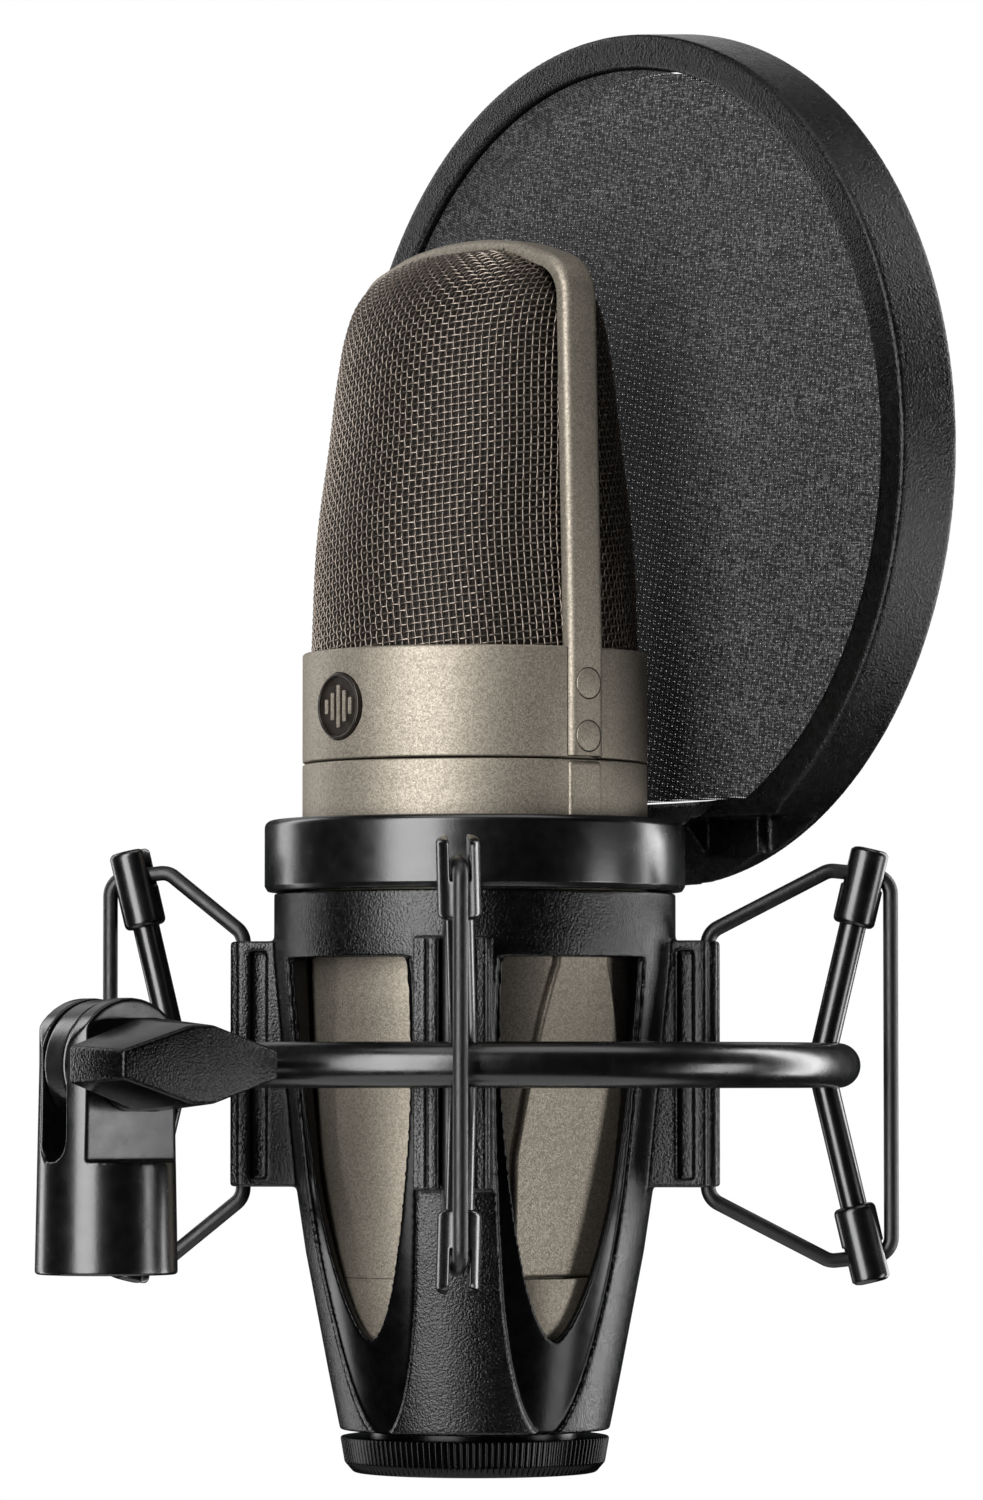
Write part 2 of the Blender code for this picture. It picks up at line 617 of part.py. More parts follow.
# Pop filter

def collar(axis):
    low, high = COLLAR_Z
    outline = [
        (COLLAR_BORE_R, low), (COLLAR_R, low), (COLLAR_R, high - 1.6), (COLLAR_R - 1.4, high),
        (COLLAR_BORE_R, high),
    ]
    link("pop_filter_collar", turned(outline), "black_metal", axis)


def pop_rim(axis, centre):
    """A ring that is filled below a chord and slopes away under it to clear the collar."""
    outline = [
        (POP_OPENING_R, -POP_HALF), (POP_FRONT_R, -POP_HALF), (POP_BACK_R, POP_HALF), (POP_OPENING_R, POP_HALF),
    ]
    made = link("pop_filter_rim", along(turned(outline, 72), "Y"), "black_plastic", centre)
    sweep = math.acos(-POP_CHORD_Z / POP_FOOT_R)
    arc = circle(POP_FOOT_R, 15, 0, 0, -math.pi / 2 - sweep, 2 * sweep)
    half = POP_HALF - POP_FOOT_INSET
    combine(made, cutter("pop_filter_foot", prism(arc, -half, half, "Y"), centre), "UNION")
    under, front = POP_CHORD_Z - PAST, POP_SLOPE_INSET - POP_HALF
    slope = [
        (POP_HALF + PAST, under), (POP_HALF, under), (front, POP_SLOPE_INSET - POP_FRONT_R),
        (front, -FAR * 2), (POP_HALF + PAST, -FAR * 2),
    ]
    cut(made, "slope", prism(slope, -FAR, FAR, "X"))
    for side in (-1, 1):
        for step, (near, far, back) in POP_POCKETS.items():
            x0, x1 = sorted((side * near, side * far))
            pocket = block((x0, back, -FAR * 2), (x1, FAR, under - POP_POCKET_LIP))
            cut(made, f"{step}_pocket_{side + 1}", pocket)
    low, high = COLLAR_Z[0] - 10, SADDLE[1][1]
    saddle = turned([(0, low), (SADDLE[0][0], low), *SADDLE, (0, high)])
    combine(made, cutter("pop_filter_saddle", saddle, axis))
    latch = block((-LATCH_HALF - GAP, LATCH_Y[0] - GAP, low), (LATCH_HALF + GAP, 0, LATCH_Z[1] + GAP))
    combine(made, cutter("pop_filter_latch_seat", latch, axis))


def pop_latch(axis):
    """The block that joins the collar to the rim's foot."""
    (y0, y1), (z0, z1) = LATCH_Y, LATCH_Z
    body = block((-LATCH_HALF, y0, z0), (LATCH_HALF, y1, z1))
    made = link("collar_latch", body, "black_metal", axis)
    cut(made, "collar_face", rod(COLLAR_R + GAP, 0, FAR * 2, steps=STEPS))


def pop_fabrics(centre):
    radius = POP_OPENING_R - GAP
    chord = POP_CHORD_Z + GAP
    open_turn = math.acos(-chord / radius)
    start, sweep = -math.pi / 2 + open_turn, 2 * (math.pi - open_turn)
    outline = circle(radius, 48, 0, 0, start, sweep)
    for name, y in CLOTH_BACKS.items():
        link(name, prism(outline, y, y + CLOTH_THICK, "Y"), "fabric", centre)


def main():
    for old in list(bpy.data.objects):
        bpy.data.objects.remove(old)
    swivel = frame("swivel_axis", place=(0, 0, SWIVEL_Z))
    knob = frame("knob_axis", place=(0, 0, SWIVEL_Z))
    ring = frame("ring_centre", swivel, (0, -AXIS_TO_SWIVEL - RING_OFFSET, 0))
    microphone = frame("microphone_axis", swivel, (0, -AXIS_TO_SWIVEL, -RING_Z))
    pop = frame("pop_filter_centre", microphone, (0, POP_Y, POP_Z), (POP_LEAN, 0, 0))

    stand_adapter()
    thread_insert()
    swivel_bolt(swivel)
    wing_knob(knob)
    clearance = ring_and_tab(swivel, ring)
    for number, azimuth in enumerate(POST_AZIMUTHS, 1):
        post(number, azimuth, True, ring, clearance)
        post(number, azimuth, False, ring, clearance)
        band(number, azimuth, microphone)

    cradle(microphone)
    base_nut(microphone)
    tail_cup(microphone)
    signal_inlet(microphone)
    lower_housing(microphone)
    grille_band(microphone)
    arch_frame(microphone)
    grilles(microphone)
    capsule(microphone)
    electronics(microphone)

    collar(microphone)
    pop_rim(microphone, pop)
    pop_latch(microphone)
    pop_fabrics(pop)


main()
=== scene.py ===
"""Looks of a side-address condenser microphone in a ring shock mount, with a round pop filter.

Every piece is modelled in millimetres, in the frame of the assembly that it belongs to: ROW is the
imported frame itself, MIC the microphone's axis with heights above the base nut's underside, RING the
ring's centre, SWIVEL the swivel's axis and POP the centre of the pop filter. piece() puts it in the
row frame, in metres.
"""

import json
from math import acos, asin, atan2, cos, exp, log1p, pi, radians, sin, sqrt, tan, tau

import bmesh
import bpy
import numpy as np
from mathutils import Matrix, Vector


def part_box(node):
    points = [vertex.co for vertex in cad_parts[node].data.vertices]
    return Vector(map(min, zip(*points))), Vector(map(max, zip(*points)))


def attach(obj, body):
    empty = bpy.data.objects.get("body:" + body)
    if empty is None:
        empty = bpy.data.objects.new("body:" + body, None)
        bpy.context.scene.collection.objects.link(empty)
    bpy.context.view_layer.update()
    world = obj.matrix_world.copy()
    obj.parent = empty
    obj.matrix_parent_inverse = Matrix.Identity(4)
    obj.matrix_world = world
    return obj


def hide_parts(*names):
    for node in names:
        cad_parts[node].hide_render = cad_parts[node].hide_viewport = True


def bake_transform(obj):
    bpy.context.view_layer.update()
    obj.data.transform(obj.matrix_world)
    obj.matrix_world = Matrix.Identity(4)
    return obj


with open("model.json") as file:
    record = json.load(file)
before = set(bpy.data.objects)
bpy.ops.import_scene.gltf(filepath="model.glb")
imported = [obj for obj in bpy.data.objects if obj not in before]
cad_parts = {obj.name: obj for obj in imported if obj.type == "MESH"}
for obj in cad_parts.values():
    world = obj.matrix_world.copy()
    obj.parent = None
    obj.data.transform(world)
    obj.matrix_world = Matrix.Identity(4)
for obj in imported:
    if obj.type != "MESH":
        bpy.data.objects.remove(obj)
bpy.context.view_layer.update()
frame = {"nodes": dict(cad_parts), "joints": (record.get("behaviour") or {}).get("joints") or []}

MM = 0.001
FAR = 80.0  # past the edge of whatever a cutter goes through
PAST = 1.0  # how far a cutter stands past a face that it only just crosses
GAP = 0.3  # between pieces that touch

# Frames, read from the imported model
NUT_LOW, NUT_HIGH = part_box("base_nut")
HOOP_LOW, HOOP_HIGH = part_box("ring_hoop")
SWIVEL_AT = next(Vector(joint["pos_m"]) for joint in frame["joints"] if joint["name"] == "swivel_tilt")
MIC_AT = Vector((0, (NUT_LOW[1] + NUT_HIGH[1]) / 2, NUT_LOW[2]))
ROW = Matrix.Identity(4)
SWIVEL = Matrix.Translation(SWIVEL_AT / MM)
MIC = Matrix.Translation(MIC_AT / MM)
RING = Matrix.Translation((HOOP_LOW + HOOP_HIGH) / 2 / MM)
POP_AT = (0, -34.15, 160)  # from the microphone's axis
POP_LEAN = radians(-1.4)
POP = MIC @ Matrix.Translation(POP_AT) @ Matrix.Rotation(POP_LEAN, 4, "X")

# Stand adapter, swivel and knob
SWIVEL_Z = SWIVEL_AT[2] / MM
ADAPTER_FOOT_R = 10.7
ADAPTER_TOP_R = 10.1
CROWN_R = ADAPTER_TOP_R - 0.1  # rounded top of the fork, about the swivel
SOCKET_R = 9.3
SOCKET_DEPTH = 14.5
THREAD = {"bore": 7.6, "root": 8.15, "low": 0.8, "high": 14.2, "pitch": 0.94}
FORK_HALF_SLOT = 3.0
FORK_FLOOR_Z = 16.8
FORK_FLAT_X = 6.2
BOLT_BORE_R = 2.8
TAB_R = 9.75
TAB_HALF = 2.7
WASHER_R = 6.0
WASHER_SEAT = 0.75
KNOB_BASE_X = 10.7
KNOB_FACE_X = 24.3
KNOB_BASE = {"flat": 2.4, "middle": 6.9, "half": 14.7, "end": 2.7}
KNOB_FACE = {"flat": 2.0, "middle": 5.8, "half": 14.2, "end": 2.1}
KNOB_HUB_R = 7.0
KNOB_HUB_X = 6.5
KNOB_NUT_SEAT_R = 4.3
KNOB_NUT_SEAT_X = -13.0
KNOB_RIDGE_SLOPE = 0.035  # how far the face falls away from its middle ridge

# Ring, posts and bands
RING_OFFSET = 4.6
RING_R = 53.3
RING_TUBE_R = 3.5
RING_Z = 63.2
POST_FOOT_R = 50.6
POST_LEAN = radians(13.2)
POST_AZIMUTHS = (45, 135, 225, 315)
ROD_R = 2.1
ROD_LENGTHS = (0.5, 27.0)
CAP_R = 3.3
CAP_LENGTHS = (22.4, 34.7)
CAP_SLOT_FLOOR = 28.6
BAND_R = 1.175
BAND_EAR_R = 36.5
BAND_CAP_R = 57.5
BAND_PAST_CAP = 4.1
BAND_EAR_RISE = 20.6
BAND_SHOULDER_RISE = 30.4
BAND_OUTER_RISE = 29.4
BAND_SHOULDER_BACK = 9.6
BAND_CORNER_R = 3.0

# Cradle and base nut
NUT_BORE_R = 13.4
CRADLE_OUTSIDE = (
    (21.0, 6.6), (22.8, 15.5), (24.6, 24.9), (26.4, 34.3), (27.8, 43.7),
    (31.2, 79.0), (31.4, 83.0), (31.4, 90.0),
)
CRADLE_WALL = 2.0
CRADLE_THROAT = (27.7, 79.0)
CRADLE_LIP = ((27.4, 90.0), (27.4, 86.0))
CRADLE_FLANGE = ((19.3, 8.4), (NUT_BORE_R, 8.4), (NUT_BORE_R, 6.6))
CRADLE_VOXEL = 0.26
WINDOW = {"half": 12.3, "foot": 21.0, "top": 79.7, "power": 0.6}
WINDOW_TURN = radians(7)  # each window stands this much towards the nearer narrow pillar
SCALLOP = {"half": 13.4, "foot": 6.0, "top": 79.7, "power": 0.5}
SCALLOP_DEPTH = 0.6
EAR_HALF = 5.65
EAR_R = 38.2
EAR_FOOT_R = (27.0, 30.0)  # inside the cradle's wall, at the foot and at the top
EAR_GROOVE_R = 34.6
EAR_Z = (44.3, 82.6)
EAR_RIDGE = {"half": 3.2, "foot": 3.7, "height": 1.5}  # the raised middle of an ear's face
EAR_RECESS_R = 32.2
EAR_RECESS_Z = (EAR_Z[0] + 1.2, EAR_Z[1] - 1.6)
NUT_RIDGES = 132
NUT_RIDGE_DEPTH = 0.5
NUT_RIDGED_R = 19.4  # the ridges fade in from here outward

# Microphone body
HOUSING_OUTSIDE = ((22.9, 30.5), (25.05, 49.0), (26.2, 79.0), (26.9, 90.0), (27.0, 101.0), (27.0, 110.1))
BODY_R = 27.0
BODY_BORE_R = 21.5
FLATS = ((29.0, 49.0, 79.0, 101.0), (20.5, 22.5, 25.7, 26.8))  # heights, and distances from the axis
FLAT_BLEND = 0.12  # how softly the flats run into the round body
PAD_Z = (30.7, 109.9)
PAD_PROUD = ((80, 86), (0.95, 0.4))  # heights, and how far the pads stand out there
BAND_Z = (110.4, 127.5)
ARCH_HALF = 3.3
ARCH_THICK = 2.4
ARCH_FACE_X = 27.8
ARCH_SIDE = ((ARCH_FACE_X, 110.7), (ARCH_FACE_X, 127.5, 60.0), (26.2, 187.2, 8.0), (13.7, 191.2, 30.0))
ARCH_CROWN = (0.0, 193.2, 80.0)
COVER_Z = (121.8, 113.7)
COVER_R = 2.35
COVER_PROUD = 0.08
COVER_SEAT = 0.8
BADGE_R = 5.15
BADGE_Z = 118.5
BADGE_SEAT_Y = 25.9
BADGE_Y = (26.3, 27.0, 27.3)  # back, field and rim
BADGE_RIM = 0.55
BADGE_BARS = (1.3, 2.4, 3.3, 2.1, 1.1)  # half-heights
BADGE_BAR_PITCH = 1.45
BADGE_BAR_HALF = 0.38
GRILLE_LEVELS = (  # height, half-width along X, depth along Y
    (126.6, 25.3, 25.5), (147.0, 24.9, 24.1), (159.5, 24.4, 21.7), (172.0, 23.9, 19.4), (178.0, 23.6, 17.7),
    (183.0, 22.6, 15.2), (187.0, 19.4, 11.4), (189.4, 14.0, 7.6), (190.2, 12.0, 3.6), (190.4, 11.5, 2.3),
)
MESH_PITCH = 1.12
MESH_TURN = radians(7)
MESH_EDGE = 2.0  # how near the arch's middle the mesh comes
WIRE_R = 0.16
WIRE_SIDES = 6
GAUZE_INSET = 0.75

# Pop filter
POP_HALF = 5.35
POP_BACK_R = 67.7
POP_FRONT_R = 68.5
POP_OPENING_R = 62.4
POP_CHORD_Z = -55.0
POP_FOOT_R = POP_BACK_R - 2  # of the fill below the chord
POP_FOOT_INSET = 0.15
POP_SLOPE_INSET = 0.4
POP_POCKETS = ((13, 25.1, -1.4), (25, FAR, -3.8))  # from, to and floor
POP_POCKET_LIP = 1.7
COLLAR_R = 32.9
COLLAR_BORE_R = 27.4
COLLAR_Z = (90.3, 101.4)
SADDLE_FOOT_Z = 80
SADDLE = ((34.0, 100.6), (38.0, 105))  # the hollow in the rim's foot, round the collar
LATCH_HALF = 5
LATCH_SEAT_Y = -37.5
LATCH_TOP_Z = 97.3
CLOTH_Y = 4.25
CLOTH_SLACK = 0.05
CLOTH_PITCH = 0.42


# Camera, lights and floor

TO_CAMERA = Vector((-0.777, 0.629, 0)).normalized()
TO_RIGHT = Vector((-0.629, -0.777, 0)).normalized()
EYE_DISTANCE = 1.064
EYE_HEIGHT = 0.0609
AIM_RIGHT = 0.0026
TILT = radians(2.78)
LENS = 163.2
LIGHT_DISTANCE = 0.9
LIGHT_AIM = 0.06  # above the base nut
FLOOR_Z = -0.42
FLOOR_R = 0.35


def shown(name, data):
    """A new object in the scene."""
    made = bpy.data.objects.new(name, data)
    bpy.context.scene.collection.objects.link(made)
    return made


def camera():
    lens = bpy.data.cameras.new("camera")
    lens.lens = LENS
    lens.sensor_width = 36
    made = shown("camera", lens)
    eye = MIC_AT + TO_CAMERA * EYE_DISTANCE + Vector((0, 0, EYE_HEIGHT))
    level = (MIC_AT + TO_RIGHT * AIM_RIGHT - eye) * Vector((1, 1, 0))
    ahead = level.normalized() * cos(TILT) + Vector((0, 0, sin(TILT)))
    made.location = eye
    made.rotation_euler = ahead.to_track_quat("-Z", "Y").to_euler()
    bpy.context.scene.camera = made


def softbox(name, turn, rise, width, height, radiance):
    """A soft rectangular light. turn is to the right of the camera's side of the object, in degrees."""
    turn, rise = radians(turn), radians(rise)
    level = TO_CAMERA * cos(turn) + TO_RIGHT * sin(turn)
    away = level * cos(rise) + Vector((0, 0, sin(rise)))
    light = bpy.data.lights.new(name, "AREA")
    light.shape = "RECTANGLE"
    light.size = width
    light.size_y = height
    light.energy = radiance * pi * width * height
    made = shown(name, light)
    made.location = MIC_AT + Vector((0, 0, LIGHT_AIM)) + away * LIGHT_DISTANCE
    made.rotation_euler = away.to_track_quat("Z", "Y").to_euler()
    made.visible_camera = False


def lights():
    softbox("left_strip", -33, 10, 0.52, 1.3, 9.2)
    softbox("front_fill", -14, 36, 0.4, 0.5, 0.5)
    softbox("right_fill", 74, -13, 0.26, 0.5, 7.5)
    softbox("right_strip", 114, 10, 0.3, 1.3, 9.0)
    softbox("left_back_strip", -125, 8, 0.25, 1.3, 4.2)
    softbox("overhead", 20, 78, 0.9, 0.5, 1.9)
    softbox("back_top", 188, 36, 0.8, 0.4, 0.7)


def surroundings():
    """White behind the object as the camera sees it, and a dim grey studio round it."""
    world = bpy.data.worlds.new("studio")
    world.use_nodes = True
    nodes = world.node_tree.nodes
    studio = nodes["Background"]
    studio.inputs["Color"].default_value = (0.9, 0.95, 1.0, 1)
    studio.inputs["Strength"].default_value = 0.025
    backdrop = node(world, "Background", Color=(1, 1, 1, 1))
    rays = node(world, "LightPath")
    mix = node(world, "MixShader")
    for k, value in enumerate((rays.outputs["Is Camera Ray"], studio.outputs[0], backdrop.outputs[0])):
        link(world, value, mix.inputs[k])
    link(world, mix.outputs[0], nodes["World Output"].inputs["Surface"])
    bpy.context.scene.world = world
    bpy.context.scene.view_settings.view_transform = "Standard"


def floor():
    bm = bmesh.new()
    bmesh.ops.create_circle(bm, cap_ends=True, radius=FLOOR_R, segments=96)
    mesh = bpy.data.meshes.new("floor")
    bm.to_mesh(mesh)
    bm.free()
    made = shown("floor", mesh)
    made.location = (0, 0, FLOOR_Z)
    paint, shader = surface("floor_paint", (0.8, 0.8, 0.8), 0.7)
    mottle(paint, shader, 60.0, (0.78, 0.78, 0.78), (0.82, 0.82, 0.82))
    mesh.materials.append(paint)


# Materials. Textures are fixed to the piece, and their sizes are in millimetres.

def surface(name, colour, roughness, metallic=0.0, **sockets):
    made = bpy.data.materials.new(name)
    made.use_nodes = True
    shader = made.node_tree.nodes["Principled BSDF"]
    shader.inputs["Base Color"].default_value = (*colour, 1)
    shader.inputs["Roughness"].default_value = roughness
    shader.inputs["Metallic"].default_value = metallic
    for socket, value in sockets.items():
        shader.inputs[socket.replace("_", " ")].default_value = value
    return made, shader


def node(paint, kind, **sockets):
    """A new node of this kind, with some of its sockets set."""
    made = paint.node_tree.nodes.new("ShaderNode" + kind)
    for socket, value in sockets.items():
        made.inputs[socket.replace("_", " ")].default_value = value
    return made


def link(paint, value, socket):
    paint.node_tree.links.new(value, socket)


def place(paint):
    return node(paint, "TexCoord").outputs["Object"]


def laid(paint, turn, stretch=(1, 1, 1)):
    """The place on the piece, turned about its Y axis and then scaled along each axis."""
    made = node(paint, "Mapping", Rotation=(0, turn, 0), Scale=stretch)
    link(paint, place(paint), made.inputs["Vector"])
    return made.outputs["Vector"]


def noise(paint, size, detail=3.0, where=None):
    """A noise whose blobs are about this size."""
    made = node(paint, "TexNoise", Scale=1 / (size * MM), Detail=detail)
    link(paint, place(paint) if where is None else where, made.inputs["Vector"])
    return made.outputs["Fac"]


def cells(paint, size):
    """Flakes of about this size, each with its own value."""
    made = node(paint, "TexVoronoi", Scale=1 / (size * MM))
    link(paint, place(paint), made.inputs["Vector"])
    split = node(paint, "SeparateColor")
    link(paint, made.outputs["Color"], split.inputs["Color"])
    return split.outputs["Red"]


def scaled(paint, value, low, high, start=0.0, end=1.0):
    """Maps low..high to start..end, and stops at both ends."""
    made = node(paint, "MapRange", From_Min=low, From_Max=high, To_Min=start, To_Max=end)
    link(paint, value, made.inputs["Value"])
    return made.outputs["Result"]


def combined(paint, operation, first, second):
    made = node(paint, "Math")
    made.operation = operation
    for socket, value in zip(made.inputs, (first, second)):
        if isinstance(value, (int, float)):
            socket.default_value = value
        else:
            link(paint, value, socket)
    return made.outputs[0]


def tint(paint, shader, share, dark, light):
    """Colours the surface between dark and light."""
    made = node(paint, "Mix")
    made.data_type = "RGBA"
    ends = [socket for socket in made.inputs if socket.type == "RGBA"]
    for socket, colour in zip(ends, (dark, light)):
        socket.default_value = (*colour, 1)
    link(paint, share, made.inputs["Factor"])
    mixed = next(socket for socket in made.outputs if socket.type == "RGBA")
    link(paint, mixed, shader.inputs["Base Color"])


def mottle(paint, shader, size, dark, light):
    tint(paint, shader, scaled(paint, noise(paint, size), 0.3, 0.7), dark, light)


def bump(paint, shader, height, depth):
    """Raises the surface by height times depth millimetres, on top of any bump that it has."""
    made = node(paint, "Bump", Strength=1.0, Distance=depth * MM)
    link(paint, height, made.inputs["Height"])
    earlier = shader.inputs["Normal"].links
    if earlier:
        link(paint, earlier[0].from_socket, made.inputs["Normal"])
    link(paint, made.outputs["Normal"], shader.inputs["Normal"])


def vary_roughness(paint, shader, size, low, high):
    share = scaled(paint, noise(paint, size), 0.3, 0.7, low, high)
    link(paint, share, shader.inputs["Roughness"])


def coated(name, dark, light, roughness, grain, depth, metallic=0.0, specular=0.5):
    """Paint, metal or plastic: a grain of one size and depth, with a slight change of colour and gloss."""
    paint, shader = surface(name, light, sum(roughness) / 2, metallic, Specular_IOR_Level=specular)
    mottle(paint, shader, grain * 3, dark, light)
    vary_roughness(paint, shader, grain * 6, *roughness)
    bump(paint, shader, noise(paint, grain), depth)
    return paint


def champagne_paint():
    paint, shader = surface("champagne_paint", (0.33, 0.285, 0.225), 0.4, 0.85)
    flakes = cells(paint, 0.22)
    tint(paint, shader, flakes, (0.175, 0.154, 0.123), (0.31, 0.277, 0.228))
    vary_roughness(paint, shader, 0.5, 0.5, 0.6)
    bump(paint, shader, flakes, 0.012)
    bump(paint, shader, noise(paint, 0.7), 0.01)
    return paint


def woven_wire():
    paint, shader = surface("mesh_wire", (0.3, 0.26, 0.22), 0.33, 0.9)
    mottle(paint, shader, 1.5, (0.11, 0.091, 0.076), (0.2, 0.168, 0.142))
    vary_roughness(paint, shader, 0.5, 0.26, 0.42)
    return paint


def threads(paint, pitch, first=0, second=2, turn=0.0):
    """How high the nearest thread of a plain weave stands, from 0 in a hole to 1 on a thread."""
    split = node(paint, "SeparateXYZ")
    link(paint, laid(paint, turn), split.inputs[0])
    heights = []
    for axis in (first, second):
        turns = combined(paint, "MULTIPLY", split.outputs[axis], tau / (pitch * MM))
        heights.append(combined(paint, "SINE", turns, 0.0))
    return scaled(paint, combined(paint, "MAXIMUM", *heights), -1.0, 1.0)


def streaks(paint, width, axis, turn):
    """A noise drawn out along one axis, as the uneven threads of a cloth are."""
    stretch = [0.25 if k == axis else 1.0 for k in range(3)]
    return noise(paint, width, 2.0, laid(paint, turn, stretch))


def dark_gauze():
    paint, shader = surface("inner_gauze", (0.014, 0.011, 0.009), 0.6, 0.6)
    height = threads(paint, 0.4)
    tint(paint, shader, height, (0.004, 0.0035, 0.003), (0.03, 0.024, 0.019))
    bump(paint, shader, height, 0.05)
    return paint


def pop_cloth(name, turn):
    """A thin dark knit with tiny holes. Its threads are laid at a small turn."""
    paint, shader = surface(name, (0.03, 0.03, 0.033), 0.75, 0.0, Specular_IOR_Level=0.35)
    height = threads(paint, CLOTH_PITCH, turn=turn)
    slubs = combined(paint, "MAXIMUM", streaks(paint, 0.3, 0, turn), streaks(paint, 0.3, 2, turn))
    share = combined(paint, "MULTIPLY", height, scaled(paint, slubs, 0.5, 0.8))
    tint(paint, shader, share, (0.001, 0.001, 0.0013), (0.125, 0.125, 0.13))
    uneven = combined(paint, "ADD", height, scaled(paint, noise(paint, 0.5), 0.3, 0.7, -0.12, 0.12))
    link(paint, scaled(paint, uneven, 0.16, 0.32), shader.inputs["Alpha"])
    bump(paint, shader, height, 0.08)
    return paint


def circuit_paint():
    paint, shader = surface("circuit_board", (0.02, 0.11, 0.045), 0.4)
    traces = scaled(paint, threads(paint, 3.5, 1, 2), 0.86, 0.9)
    tint(paint, shader, traces, (0.015, 0.09, 0.035), (0.05, 0.22, 0.09))
    return paint


def paints():
    black = ((0.0004, 0.0004, 0.0005), (0.0012, 0.0012, 0.0014))
    leather = ((0.0004, 0.0004, 0.0004), (0.002, 0.002, 0.0022))
    moulded = ((0.0005, 0.0005, 0.0005), (0.003, 0.003, 0.0033))
    enamel = ((0.012, 0.009, 0.007), (0.02, 0.015, 0.012))
    brass = ((0.42, 0.27, 0.1), (0.62, 0.43, 0.19))
    steel = ((0.4, 0.4, 0.41), (0.6, 0.6, 0.61))
    gold = ((0.7, 0.48, 0.16), (0.85, 0.62, 0.27))
    cream = ((0.5, 0.48, 0.42), (0.68, 0.66, 0.6))
    return {
        "satin_black": coated("satin_black_coat", *black, (0.22, 0.28), 0.5, 0.008, specular=0.65),
        "cradle_grain": coated("cradle_leather_grain", *leather, (0.18, 0.26), 0.36, 0.13, specular=0.4),
        "cradle_smooth": coated("cradle_smooth_plastic", *black, (0.2, 0.26), 0.45, 0.01, specular=0.15),
        "fine_plastic": coated("fine_grained_plastic", *moulded, (0.22, 0.3), 0.36, 0.15, specular=0.26),
        "knob_plastic": coated("knob_plastic", *black, (0.16, 0.22), 0.36, 0.12, specular=0.22),
        "elastic": coated("elastic_cover", *black, (0.38, 0.5), 0.3, 0.03),
        "champagne": champagne_paint(),
        "wire": woven_wire(),
        "gauze": dark_gauze(),
        "front_cloth": pop_cloth("front_pop_cloth", 0.06),
        "back_cloth": pop_cloth("back_pop_cloth", 0.42),
        "badge": coated("badge_enamel", *enamel, (0.25, 0.35), 0.6, 0.01, 0.4),
        "brass": coated("turned_brass", *brass, (0.25, 0.4), 0.8, 0.01, 1.0),
        "steel": coated("zinc_steel", *steel, (0.22, 0.36), 0.8, 0.01, 1.0),
        "gold": coated("gold_plate", *gold, (0.16, 0.26), 0.8, 0.004, 1.0),
        "board": circuit_paint(),
        "insulator": coated("insulator_plastic", *cream, (0.4, 0.5), 0.8, 0.02),
    }


# Objects

BLACK = (["satin_black"], "black_metal")  # looks and slot
CHAMPAGNE = (["champagne"], "champagne")


def piece(name, mesh, where, body, looks, slot, stands_for=(), sharp=40):
    """Places a mesh given in millimetres, shades it and lets it ride on its body, if it has one."""
    bm = bmesh.new()
    bm.from_mesh(mesh)
    bmesh.ops.remove_doubles(bm, verts=bm.verts, dist=1e-4)
    bmesh.ops.recalc_face_normals(bm, faces=bm.faces)
    bm.transform(Matrix.Scale(MM, 4) @ where)
    bm.to_mesh(mesh)
    bm.free()
    mesh.name = name
    mesh.materials.clear()
    for look in looks:
        mesh.materials.append(PAINTS[look])
    mesh.shade_smooth()
    mesh.set_sharp_from_angle(angle=radians(sharp))
    made = shown(name, mesh)
    if body:
        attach(made, body)
    if stands_for:
        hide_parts(*stands_for)
    return made


def faced_out(mesh):
    """Merges doubled points and turns every face of a solid outward."""
    bm = bmesh.new()
    bm.from_mesh(mesh)
    bmesh.ops.remove_doubles(bm, verts=bm.verts, dist=1e-4)
    bmesh.ops.recalc_face_normals(bm, faces=bm.faces)
    if bm.calc_volume(signed=True) < 0:
        bmesh.ops.reverse_faces(bm, faces=bm.faces)
    bm.to_mesh(mesh)
    bm.free()
    return mesh


def finished(made):
    """The mesh with its modifiers applied. The objects that it was made with are removed."""
    graph = bpy.context.evaluated_depsgraph_get()
    mesh = bpy.data.meshes.new_from_object(made.evaluated_get(graph))
    tools = [step.object for step in made.modifiers if step.type == "BOOLEAN"]
    for old in (made, *tools):
        bpy.data.objects.remove(old)
    return mesh


def carved(mesh, *tools, operation="DIFFERENCE"):
    made = shown("work", faced_out(mesh))
    for tool in tools:
        step = made.modifiers.new("carve", "BOOLEAN")
        step.operation = operation
        step.object = shown("work", faced_out(tool))
    return finished(made)


def softened(mesh, voxel, rounds):
    """Rounds every edge a little, by an even remesh and a few rounds of smoothing."""
    made = shown("work", mesh)
    remesh = made.modifiers.new("even", "REMESH")
    remesh.mode = "VOXEL"
    remesh.voxel_size = voxel
    smooth = made.modifiers.new("smooth", "SMOOTH")
    smooth.factor = 0.5
    smooth.iterations = rounds
    return finished(made)


def bevelled(mesh, width, segments=3, angle=30):
    made = shown("work", mesh)
    step = made.modifiers.new("edge", "BEVEL")
    step.width = width
    step.segments = segments
    step.limit_method = "ANGLE"
    step.angle_limit = radians(angle)
    return finished(made)


# Shapes, in millimetres

